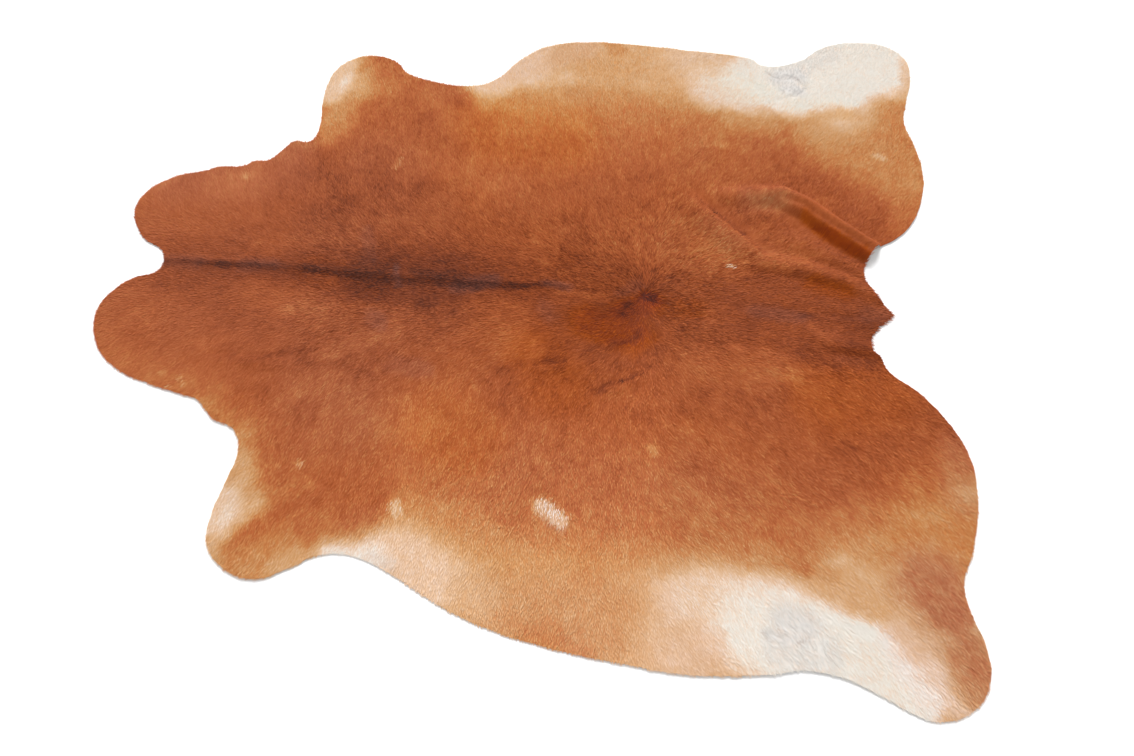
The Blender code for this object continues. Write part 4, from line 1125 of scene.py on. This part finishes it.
# Clouds in the suede: their noise, and how dark they are.
SUEDE_NOISE_SCALE = 14.0
SUEDE_NOISE_DETAIL = 6.0
SUEDE_DARKEST = 0.86

# How matt a surface is, and how much light it mirrors.
Finish = namedtuple("Finish", "roughness mirror")
UNDERHAIR_FINISH = Finish(0.8, 0.2)
SUEDE_FINISH = Finish(0.92, 0.2)
FLOOR_FINISH = Finish(0.9, 0.1)
HAIR_MIRROR = 0.12

# Fine relief of a surface: the scale of its noise, its strength and its height.
Relief = namedtuple("Relief", "scale strength height")
UNDERHAIR_RELIEF = Relief(600.0, 0.5, 0.001)
SUEDE_RELIEF = Relief(900.0, 0.4, 0.0006)
RELIEF_DETAIL = 3.0

# Where a colour Mix node keeps its share, its two colours and its result.
MIX_INPUTS = (0, 6, 7)
MIX_RESULT = 2


def linear(channel):
    """One sRGB share as a linear share."""
    if channel <= 0.04045:
        return channel / 12.92
    return ((channel + 0.055) / 1.055) ** 2.4


def as_albedo(colour):
    """The share of light that gives this look in the studio."""
    return tuple((linear(channel) - GLOSS_LIGHT) / STUDIO_LIGHT for channel in colour) + (1.0,)


def add_node(tree, kind, **values):
    """Add a node, with its settings by name."""
    node = tree.nodes.new(kind)
    for name, value in values.items():
        setattr(node, name, value)
    return node


def add_math(tree, operation, first, second):
    """Add one step of arithmetic on sockets or numbers."""
    node = add_node(tree, "ShaderNodeMath", operation=operation)
    for socket, value in zip(node.inputs, (first, second)):
        if isinstance(value, (int, float)):
            socket.default_value = value
        else:
            tree.links.new(value, socket)
    return node.outputs[0]


def add_mix(tree, share, first, second):
    """Mix two colours by a share."""
    node = add_node(tree, "ShaderNodeMix", data_type="RGBA")
    for place, value in zip(MIX_INPUTS, (share, first, second)):
        if isinstance(value, (int, float, tuple)):
            node.inputs[place].default_value = value
        else:
            tree.links.new(value, node.inputs[place])
    return node.outputs[MIX_RESULT]


def add_noise(tree, place, scale, detail):
    """Noise from 0 to 1 over a place."""
    node = add_node(tree, "ShaderNodeTexNoise")
    node.inputs["Scale"].default_value = scale
    node.inputs["Detail"].default_value = detail
    tree.links.new(place, node.inputs["Vector"])
    return node.outputs["Fac"]


def colour_group(coat):
    """Node group that turns tone, bloom, strand and tip into the hair's colour."""
    tree = bpy.data.node_groups.new(COLOUR_GROUP, "ShaderNodeTree")
    for name, default in COLOUR_INPUTS:
        socket = tree.interface.new_socket(name, in_out="INPUT", socket_type="NodeSocketFloat")
        socket.default_value = default
    tree.interface.new_socket("Color", in_out="OUTPUT", socket_type="NodeSocketColor")
    into = add_node(tree, "NodeGroupInput")
    out = add_node(tree, "NodeGroupOutput")
    place = add_node(tree, "ShaderNodeTexCoord").outputs["Object"]
    calm = add_node(tree, "ShaderNodeMapRange")
    ends = ("From Min", "From Max", "To Min", "To Max")
    for name, value in zip(ends, STRAND_TONES + STRAND_CHANGES):
        calm.inputs[name].default_value = value
    tree.links.new(into.outputs["Tone"], calm.inputs["Value"])
    noise = add_noise(tree, place, HAIR_NOISE_SCALE, HAIR_NOISE_DETAIL)
    tone = into.outputs["Tone"]
    for value, change in (
        (noise, HAIR_NOISE_CHANGE),
        (into.outputs["Strand"], calm.outputs[0]),
        (into.outputs["Tip"], TIP_CHANGE),
    ):
        off_middle = add_math(tree, "SUBTRACT", value, 0.5)
        tone = add_math(tree, "ADD", tone, add_math(tree, "MULTIPLY", off_middle, change))
    ramp = add_node(tree, "ShaderNodeValToRGB")
    tree.links.new(tone, ramp.inputs[0])
    steps = ramp.color_ramp.elements
    while len(steps) < len(TONE_COLOURS):
        steps.new(0.5)
    for step, (position, colour) in zip(steps, TONE_COLOURS):
        step.position = position
        step.color = as_albedo(colour)
    grey = add_node(tree, "ShaderNodeRGBToBW")
    tree.links.new(ramp.outputs[0], grey.inputs[0])
    tint = add_node(tree, "ShaderNodeVectorMath", operation="SCALE")
    tint.inputs[0].default_value = tuple(coat.bloom[:3])
    tree.links.new(grey.outputs[0], tint.inputs["Scale"])
    share = add_math(tree, "MULTIPLY", into.outputs["Bloom"], BLOOM_SHARE)
    dulled = add_mix(tree, share, ramp.outputs[0], tint.outputs[0])
    dulled.node.clamp_factor = False
    dulled.node.clamp_result = True
    tree.links.new(dulled, out.inputs["Color"])
    return tree


def shared_group(coat):
    """The coat's colour group, made once."""
    return bpy.data.node_groups.get(COLOUR_GROUP) or colour_group(coat)


def attribute(tree, name):
    """Read a value that the mesh carries."""
    return add_node(tree, "ShaderNodeAttribute", attribute_name=name).outputs["Fac"]


def new_material(name):
    """A material with its own node tree, and its shader."""
    material = bpy.data.materials.new(name)
    material.use_nodes = True
    return material, material.node_tree, material.node_tree.nodes["Principled BSDF"]


def set_finish(shader, roughness, mirror):
    """Set how matt a surface is, and how much light it mirrors."""
    shader.inputs["Roughness"].default_value = roughness
    shader.inputs["Specular IOR Level"].default_value = mirror


def add_relief(tree, shader, place, relief):
    """Roughen a surface with fine noise."""
    bump = add_node(tree, "ShaderNodeBump")
    bump.inputs["Strength"].default_value = relief.strength
    bump.inputs["Distance"].default_value = relief.height
    tree.links.new(add_noise(tree, place, relief.scale, RELIEF_DETAIL), bump.inputs["Height"])
    tree.links.new(bump.outputs["Normal"], shader.inputs["Normal"])


def place_group(tree, group, values):
    """Put a node group into a material and give it its values."""
    node = add_node(tree, "ShaderNodeGroup")
    node.node_tree = group
    for name, value in values.items():
        if isinstance(value, (int, float)):
            node.inputs[name].default_value = value
        else:
            tree.links.new(value, node.inputs[name])
    return node


def hair_material(coat, group):
    """Satin hair, coloured lock by lock."""
    material, tree, shader = new_material("Cattle hair")
    values = {
        "Tone": attribute(tree, "tone"),
        "Bloom": attribute(tree, "bloom"),
        "Strand": attribute(tree, "strand"),
        "Tip": attribute(tree, "tip"),
    }
    colour = place_group(tree, group, values).outputs["Color"]
    shown = add_mix(tree, attribute(tree, "bare"), colour, tuple(coat.skin))
    tree.links.new(shown, shader.inputs["Base Color"])
    set_finish(shader, coat.roughness, HAIR_MIRROR)
    return material


def underhair_material(coat, group):
    """Close hair next to the skin, darker as painted shade between the locks, with grey skin where
    the coat is thin.
    """
    material, tree, shader = new_material("Close underhair")
    values = {
        "Tone": attribute(tree, "tone"),
        "Bloom": attribute(tree, "bloom"),
        "Strand": UNDERHAIR_STRAND,
        "Tip": UNDERHAIR_TIP,
    }
    colour = place_group(tree, group, values).outputs["Color"]
    skin = add_mix(tree, attribute(tree, "scratch"), tuple(coat.skin), tuple(coat.scratch))
    shown = add_mix(tree, attribute(tree, "bare"), colour, skin)
    tree.links.new(shown, shader.inputs["Base Color"])
    set_finish(shader, *UNDERHAIR_FINISH)
    place = add_node(tree, "ShaderNodeTexCoord").outputs["Object"]
    add_relief(tree, shader, place, UNDERHAIR_RELIEF)
    return material


def suede_material(leather):
    """Pale suede of the flesh side."""
    material, tree, shader = new_material("Suede flesh side")
    place = add_node(tree, "ShaderNodeTexCoord").outputs["Object"]
    cloud = add_noise(tree, place, SUEDE_NOISE_SCALE, SUEDE_NOISE_DETAIL)
    dark = tuple(channel * SUEDE_DARKEST for channel in leather.suede[:3]) + (1.0,)
    tree.links.new(add_mix(tree, cloud, dark, tuple(leather.suede)), shader.inputs["Base Color"])
    set_finish(shader, *SUEDE_FINISH)
    add_relief(tree, shader, place, SUEDE_RELIEF)
    return material


def floor_material(stage):
    """Plain matt floor."""
    material, _, shader = new_material("Studio floor")
    shader.inputs["Base Color"].default_value = tuple(stage.floor)
    set_finish(shader, *FLOOR_FINISH)
    return material


# ---------------------------------------------------------------------------
# Meshes
# ---------------------------------------------------------------------------

BAKE_MAP = "OFBake"
# How far a lattice's places are off their crossings at most, as a share of its
# spacing, and the seeds of the sheet's lattice and of the locks'.
LATTICE_SHIFT = 0.22
SHEET_SEED = 41
LOCK_SEED = 51
# The leather's points stand closer where a fold is higher than this, and
# closest where more than this share of the hair is missing.
FOLD_START = 0.0004
SKIN_START = 0.02
# How far inside the cut edge they stay, as a share of their spacing.
EDGE_ROOM = 0.6
# How fully flecks colour the hair next to the skin.
UNDERHAIR_FLECKS = 0.8
# The leather's surface is smooth where it turns less than this.
SMOOTH_ANGLE = math.radians(50.0)


def put_values(mesh, name, values):
    """Store one value for each vertex."""
    layer = mesh.attributes.new(name, "FLOAT", "POINT")
    layer.data.foreach_set("value", np.asarray(values, np.float32))


def vertex_places(mesh):
    """The mesh's vertices as rows of x, y and z."""
    places = np.empty(len(mesh.vertices) * 3, np.float32)
    mesh.vertices.foreach_get("co", places)
    return places.reshape(-1, 3)


def lay_map(mesh):
    """Give the mesh a flat map, as seen from above, that fills the square."""
    places = vertex_places(mesh)[:, :2]
    low, high = places.min(0), places.max(0)
    corners = np.empty(len(mesh.loops), np.int32)
    mesh.loops.foreach_get("vertex_index", corners)
    spread = (places - low) / (high - low)
    layer = mesh.uv_layers.new(name=BAKE_MAP)
    layer.uv.foreach_set("vector", spread[corners].astype(np.float32).ravel())


def lattice(spacing, low, high, seed):
    """A triangular lattice of slightly shifted places over a box."""
    row_gap = spacing * math.sqrt(3.0) / 2.0
    rows = np.arange(low[1], high[1], row_gap)
    columns = np.arange(low[0], high[0], spacing)
    x, y = np.meshgrid(columns, rows)
    x = x + np.where(np.arange(len(rows)) % 2, spacing / 2.0, 0.0)[:, None]
    random = np.random.default_rng(seed)
    shift = random.uniform(-LATTICE_SHIFT, LATTICE_SHIFT, (2,) + x.shape) * spacing
    return (x + shift[0]).ravel(), (y + shift[1]).ravel()


def sheet_points(leather):
    """Places inside the cut edge: wide on the flat, closer on folds and bare skin."""
    net = hide_net()
    ring = cut_edge()
    low, high = ring.min(0), ring.max(0)
    raised = np.zeros_like(net.mesh_x)
    for sections in FOLDS.values():
        raised = np.maximum(raised, fold_height(net.mesh_x, net.mesh_y, sections))
    kept = []
    # Level 0 is the flat, 1 the folds and 2 the bare skin.
    for level, spacing in enumerate((leather.spacing, leather.fold_spacing, leather.skin_spacing)):
        x, y = lattice(spacing, low, high, SHEET_SEED)
        wanted = (net.read(raised, x, y) > FOLD_START).astype(int)
        wanted[mixed_share(x, y, BARE_SPOTS)[0] > SKIN_START] = 2
        keep = (net.read(net.inward, x, y) > spacing * EDGE_ROOM) & (wanted == level)
        kept.append(np.stack([x[keep], y[keep]], 1))
    return np.concatenate(kept)


def leather_mesh(leather):
    """Fill the cut edge with triangles that rise over the folds."""
    ring = cut_edge()
    places = np.concatenate([ring, sheet_points(leather)])
    rim = [(index, (index + 1) % len(ring)) for index in range(len(ring))]
    points = [Vector(place) for place in places.tolist()]
    spots, _, faces, *_ = delaunay_2d_cdt(points, rim, [], FILL_INSIDE, CDT_MERGE)
    x, y = np.array([spot[:] for spot in spots]).T
    net = hide_net()
    mesh = bpy.data.meshes.new("leather")
    height = net.read(net.height, x, y)
    placed = np.stack([x - SPINE_TO_CENTRE[0], y - SPINE_TO_CENTRE[1], height], 1)
    mesh.from_pydata(placed.tolist(), [], faces)
    tone = coat_tone(x, y)
    share, fleck_tone = mixed_share(x, y, FLECKS)
    put_values(mesh, "tone", tone + (fleck_tone - tone) * share * UNDERHAIR_FLECKS)
    put_values(mesh, "bloom", coat_bloom(x, y))
    put_values(mesh, "bare", mixed_share(x, y, BARE_SPOTS)[0])
    put_values(mesh, "scratch", mixed_share(x, y, SCRATCHES)[0])
    return mesh


def declare(piece):
    """Make a piece part of the hide's body, and hide the imported solid."""
    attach(piece, HIDE_BODY)
    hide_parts(HIDE_NODE)


def add_object(name, mesh):
    """Put a mesh into the scene."""
    made = bpy.data.objects.new(name, mesh)
    bpy.context.scene.collection.objects.link(made)
    return made


def choose(piece):
    """Select one object only."""
    bpy.ops.object.select_all(action="DESELECT")
    piece.select_set(True)
    bpy.context.view_layer.objects.active = piece


def upward(mesh):
    """How far each face turns up."""
    normals = np.empty(len(mesh.polygons) * 3, np.float32)
    mesh.polygons.foreach_get("normal", normals)
    return normals[2::3]


class HIDERUG_OT_leather(bpy.types.Operator):
    """Cut the leather sheet and lay it over its folds"""

    bl_idname = "hide_rug.leather"
    bl_label = "Cut the leather"

    def execute(self, context):
        """Make the sheet, thicken it, and give it its two finishes."""
        leather = context.scene.hide_leather
        coat = context.scene.hide_coat
        sheet = add_object("leather_sheet", leather_mesh(leather))
        choose(sheet)
        thickness = sheet.modifiers.new("thickness", "SOLIDIFY")
        thickness.thickness = leather.thickness
        thickness.offset = 1.0
        bpy.ops.object.modifier_apply(modifier=thickness.name)
        sheet.data.materials.append(underhair_material(coat, shared_group(coat)))
        sheet.data.materials.append(suede_material(leather))
        below = (upward(sheet.data) < -WALL_TILT).astype(np.int32)
        sheet.data.polygons.foreach_set("material_index", below)
        bpy.ops.object.shade_smooth_by_angle(angle=SMOOTH_ANGLE)
        lay_map(sheet.data)
        declare(sheet)
        return {"FINISHED"}


# ---------------------------------------------------------------------------
# The coat
# ---------------------------------------------------------------------------

# Each band of the coat is one piece.  The bands follow one another from the
# neck to the rump and have the same number of locks.
COAT_BANDS = ("coat_neck", "coat_shoulder", "coat_barrel", "coat_loin", "coat_rump")
COAT_SEED = 7

# The corners of a lock from root to tip: how far along it, how wide and how
# high there, as shares of its length, width and depth, on which side, and how
# much of the tip's paler shade it has.
Corner = namedtuple("Corner", "along wide high side tip")
LOCK_CORNERS = (
    Corner(0.00, 0.70, -0.10, -0.5, -0.5),
    Corner(0.00, 0.70, -0.10, 0.5, -0.5),
    Corner(0.45, 1.00, 0.80, 0.5, 0.1),
    Corner(0.45, 1.00, 0.80, -0.5, 0.1),
    Corner(1.00, 0.00, 1.00, 0.0, 0.5),
)
# Its two faces by their corners: a four-sided root and a pointed tip.
ROOT_FACE = (0, 1, 2, 3)
TIP_FACE = (3, 2, 4)

# How far a root is off its crossing at most, as a share of the locks' spacing,
# and how far inside the cut edge it stands.
ROOT_SHIFT = 0.3
ROOT_INSET = 0.0005
# How a lock's length, width and depth vary about the usual.
LENGTH_RANGE = (0.7, 1.25)
WIDTH_RANGE = (0.7, 1.3)
DEPTH_RANGE = (0.55, 1.35)
# How far its direction usually strays, in radians.
LOCK_STRAY = 0.16
# At the edge it keeps at least this share of its length, and reaches past the
# edge by a share of the overhang between these.
SHORTEST_LOCK = 0.3
OVERHANG_RANGE = (0.2, 1.0)
# How far a lock is usually turned about its own length, in radians.
LOCK_ROLL = 0.26
# The share of its depth that the coat keeps where its locks don't differ.
CALM_DEPTH = 0.5
# How steeply hair that reaches past the cut edge hangs down.
EDGE_DROOP = 0.80
# How much farther the fringe beside the tail reaches past the edge, and how
# much longer its hair is.
FRINGE_EXTRA = 2.0
FRINGE_LENGTH = 0.7
# How far locks of different colours are mixed where two colours meet, and how
# far along a lock the place is whose colour it takes.
COLOUR_MIX = 0.003
COLOUR_PLACE = 0.55
# How fully a fleck's locks take its colour, and how much that varies.
FLECK_FULL = 1.4
FLECK_VARY = 0.7
# Keeps a division from meeting 0.
LEAST_DROP = 1e-6


def lock_roots(coat, random):
    """Places of the roots, evenly but not in rows, with some left out."""
    net, ring = hide_net(), cut_edge()
    low, high = ring.min(0), ring.max(0)
    spacing = math.sqrt(FLAT_AREA / coat.locks * 2.0 / math.sqrt(3.0))
    x, y = lattice(spacing, low, high, LOCK_SEED)
    x += random.uniform(-ROOT_SHIFT, ROOT_SHIFT, len(x)) * spacing
    y += random.uniform(-ROOT_SHIFT, ROOT_SHIFT, len(y)) * spacing
    bare, _ = mixed_share(x, y, BARE_SPOTS)
    kept = (net.read(net.inward, x, y) > ROOT_INSET) & (random.uniform(0, 1, len(x)) > bare)
    return x[kept], y[kept]


def lock_shapes(coat, x, y, random):
    """Direction, length, width and depth of each lock."""
    net = hide_net()
    count = len(x)
    fringe = mixed_share(x, y, (TAIL_FRINGE, TAIL_BAY))[0]
    angle = coat_flow(x, y) + random.normal(0.0, LOCK_STRAY, count) * (1.0 + fringe)
    length = coat.length * random.uniform(*LENGTH_RANGE, count) * (1.0 + FRINGE_LENGTH * fringe)
    width = coat.width * random.uniform(*WIDTH_RANGE, count)
    depth = coat.depth * random.uniform(*DEPTH_RANGE, count)
    inward = net.read(net.inward, x, y)
    tip_inward = net.read(net.inward, x + np.cos(angle) * length, y + np.sin(angle) * length)
    drop = np.maximum(inward - tip_inward, LEAST_DROP)
    past = coat.overhang * random.uniform(*OVERHANG_RANGE, count) * (1.0 + FRINGE_EXTRA * fringe)
    room = np.clip((inward + past) / drop, SHORTEST_LOCK, 1.0)
    return angle, np.where(tip_inward < inward, length * room, length), width, depth


def lock_corners(coat, x, y, life, random):
    """The places of every lock's corners, lying on the leather."""
    net = hide_net()
    angle, length, width, depth = lock_shapes(coat, x, y, random)
    roll = LOCK_ROLL * life * random.normal(0.0, 1.0, len(x))
    depth = depth * (CALM_DEPTH + (1.0 - CALM_DEPTH) * np.minimum(life, 1.0))
    ahead = np.stack([np.cos(angle), np.sin(angle)], 1)
    aside = np.stack([-np.sin(angle), np.cos(angle)], 1)
    top = bpy.context.scene.hide_leather.thickness
    corners = np.empty((len(x), len(LOCK_CORNERS), 3))
    for index, corner in enumerate(LOCK_CORNERS):
        out = corner.side * corner.wide * width
        place = np.stack([x, y], 1) + ahead * (corner.along * length)[:, None]
        place += aside * (out * np.cos(roll))[:, None]
        ground = net.read(net.height, place[:, 0], place[:, 1])
        outside = np.maximum(-net.read(net.inward, place[:, 0], place[:, 1]), 0.0)
        ground = ground - np.minimum(EDGE_DROOP * outside, top)
        corners[:, index, :2] = place - SPINE_TO_CENTRE
        corners[:, index, 2] = ground + top + corner.high * depth + out * np.sin(roll)
    return corners


def lock_colours(coat, x, y, random):
    """Tone, bloom, strand and liveliness of every lock, from the place it covers."""
    angle = coat_flow(x, y)
    reach = COLOUR_PLACE * coat.length
    near_x = x + reach * np.cos(angle) + random.normal(0.0, COLOUR_MIX, len(x))
    near_y = y + reach * np.sin(angle) + random.normal(0.0, COLOUR_MIX, len(x))
    tone = coat_tone(near_x, near_y)
    share, fleck_tone = mixed_share(near_x, near_y, FLECKS)
    white = np.clip(share * FLECK_FULL - FLECK_VARY * random.uniform(0, 1, len(x)), 0.0, 1.0)
    tone = tone + (fleck_tone - tone) * white
    life = calmed(coat_life(x, y), tone, LIFE_CALMS)
    strand = 0.5 + life * (random.uniform(0, 1, len(x)) - 0.5)
    return tone, coat_bloom(near_x, near_y), strand, life


def coat_mesh(name, corners, life, values):
    """One mesh of many locks, each a four-sided root and a pointed tip."""
    each = np.arange(len(corners))[:, None]
    mesh = bpy.data.meshes.new(name)
    mesh.vertices.add(corners[..., 0].size)
    mesh.vertices.foreach_set("co", corners.astype(np.float32).ravel())
    loops = each * len(LOCK_CORNERS) + [ROOT_FACE + TIP_FACE]
    mesh.loops.add(loops.size)
    mesh.loops.foreach_set("vertex_index", loops.astype(np.int32).ravel())
    starts = each * loops.shape[1] + [[0, len(ROOT_FACE)]]
    mesh.polygons.add(starts.size)
    mesh.polygons.foreach_set("loop_start", starts.astype(np.int32).ravel())
    mesh.update(calc_edges=True)
    mesh.validate()
    for label, value in values.items():
        put_values(mesh, label, np.repeat(value, len(LOCK_CORNERS)))
    tips = [corner.tip for corner in LOCK_CORNERS]
    put_values(mesh, "tip", 0.5 + np.outer(life, tips).ravel())
    return mesh


class HIDERUG_OT_coat(bpy.types.Operator):
    """Lay the coat of short hair on the leather, a band at a time"""

    bl_idname = "hide_rug.coat"
    bl_label = "Lay the coat"

    def execute(self, context):
        """Work out all locks at once, then make one piece of each band."""
        coat = context.scene.hide_coat
        random = np.random.default_rng(COAT_SEED)
        x, y = lock_roots(coat, random)
        order = np.argsort(x, kind="stable")
        x, y = x[order], y[order]
        tone, bloom, strand, life = lock_colours(coat, x, y, random)
        corners = lock_corners(coat, x, y, life, random)
        material = hair_material(coat, shared_group(coat))
        bands = np.array_split(np.arange(len(x)), len(COAT_BANDS))
        for name, band in zip(COAT_BANDS, bands):
            values = {
                "tone": tone[band],
                "bloom": bloom[band],
                "strand": strand[band],
                "bare": mixed_share(x[band], y[band], BARE_SPOTS)[0],
            }
            piece = add_object(name, coat_mesh(name, corners[band], life[band], values))
            piece.data.materials.append(material)
            lay_map(piece.data)
            declare(piece)
        return {"FINISHED"}


# ---------------------------------------------------------------------------
# Stage
# ---------------------------------------------------------------------------

# The camera looks down from beyond the near flank.  The floor lies just below
# the hide, and the key light comes from beyond the far flank.
CAMERA_PLACE = (0.150, -1.315, 1.981)
CAMERA_TURN = (math.radians(27.87), math.radians(-1.26), math.radians(4.24))
SENSOR_WIDTH = 36.0
FLOOR_SIZE = 60.0
FLOOR_GAP = 0.0004
KEY_PLACE = (-0.6, 3.4, 3.0)
KEY_SPREAD = math.radians(32.0)


class HIDERUG_OT_stage(bpy.types.Operator):
    """Set the floor, the lights and the camera"""

    bl_idname = "hide_rug.stage"
    bl_label = "Set the stage"

    def execute(self, context):
        """Make what the studio needs."""
        stage = context.scene.hide_stage
        self.lay_floor(stage)
        self.hang_lights(context.scene, stage)
        self.place_camera(context.scene, stage)
        return {"FINISHED"}

    def lay_floor(self, stage):
        """A wide plain floor just under the hide."""
        bpy.ops.object.select_all(action="DESELECT")
        bpy.ops.mesh.primitive_plane_add(size=FLOOR_SIZE, location=(0.0, 0.0, -FLOOR_GAP))
        floor = bpy.context.active_object
        floor.name = "studio_floor"
        floor.data.materials.append(floor_material(stage))

    def hang_lights(self, scene, stage):
        """Even light from all round, and one soft light from beyond the far flank."""
        world = bpy.data.worlds.new("studio")
        world.use_nodes = True
        background = world.node_tree.nodes["Background"]
        background.inputs["Color"].default_value = (1.0, 1.0, 1.0, 1.0)
        background.inputs["Strength"].default_value = stage.sky
        scene.world = world
        lamp = bpy.data.lights.new("key", "SUN")
        lamp.energy = stage.key
        lamp.angle = KEY_SPREAD
        key = add_object("key", lamp)
        key.location = KEY_PLACE
        key.rotation_euler = (-Vector(KEY_PLACE)).to_track_quat("-Z", "Y").to_euler()

    def place_camera(self, scene, stage):
        """Look down at the hide from beyond its near flank."""
        lens = bpy.data.cameras.new("camera")
        lens.lens = stage.lens
        lens.sensor_width = SENSOR_WIDTH
        camera = add_object("camera", lens)
        camera.location = CAMERA_PLACE
        camera.rotation_euler = CAMERA_TURN
        scene.camera = camera
        scene.view_settings.view_transform = "Standard"


class HIDERUG_PT_panel(bpy.types.Panel):
    """Lists the steps that make the rug"""

    bl_label = "Hide Rug"
    bl_idname = "HIDERUG_PT_panel"
    bl_space_type = "VIEW_3D"
    bl_region_type = "UI"
    bl_category = "Hide Rug"

    def draw(self, context):
        """One button for each step."""
        for step in STEPS:
            self.layout.operator(step.bl_idname)


STEPS = (HIDERUG_OT_leather, HIDERUG_OT_coat, HIDERUG_OT_stage)
SETTINGS = {
    "hide_leather": HideLeatherSettings,
    "hide_coat": HideCoatSettings,
    "hide_stage": HideStageSettings,
}


def register():
    """Make the settings, the steps and the panel known to Blender."""
    for name, group in SETTINGS.items():
        bpy.utils.register_class(group)
        setattr(bpy.types.Scene, name, bpy.props.PointerProperty(type=group))
    for step in STEPS:
        bpy.utils.register_class(step)
    bpy.utils.register_class(HIDERUG_PT_panel)


def unregister():
    """Undo register."""
    bpy.utils.unregister_class(HIDERUG_PT_panel)
    for step in reversed(STEPS):
        bpy.utils.unregister_class(step)
    for name, group in reversed(list(SETTINGS.items())):
        delattr(bpy.types.Scene, name)
        bpy.utils.unregister_class(group)


def main():
    """Make the rug and its studio."""
    register()
    bpy.ops.hide_rug.leather()
    bpy.ops.hide_rug.coat()
    bpy.ops.hide_rug.stage()


if __name__ == "__main__":
    main()
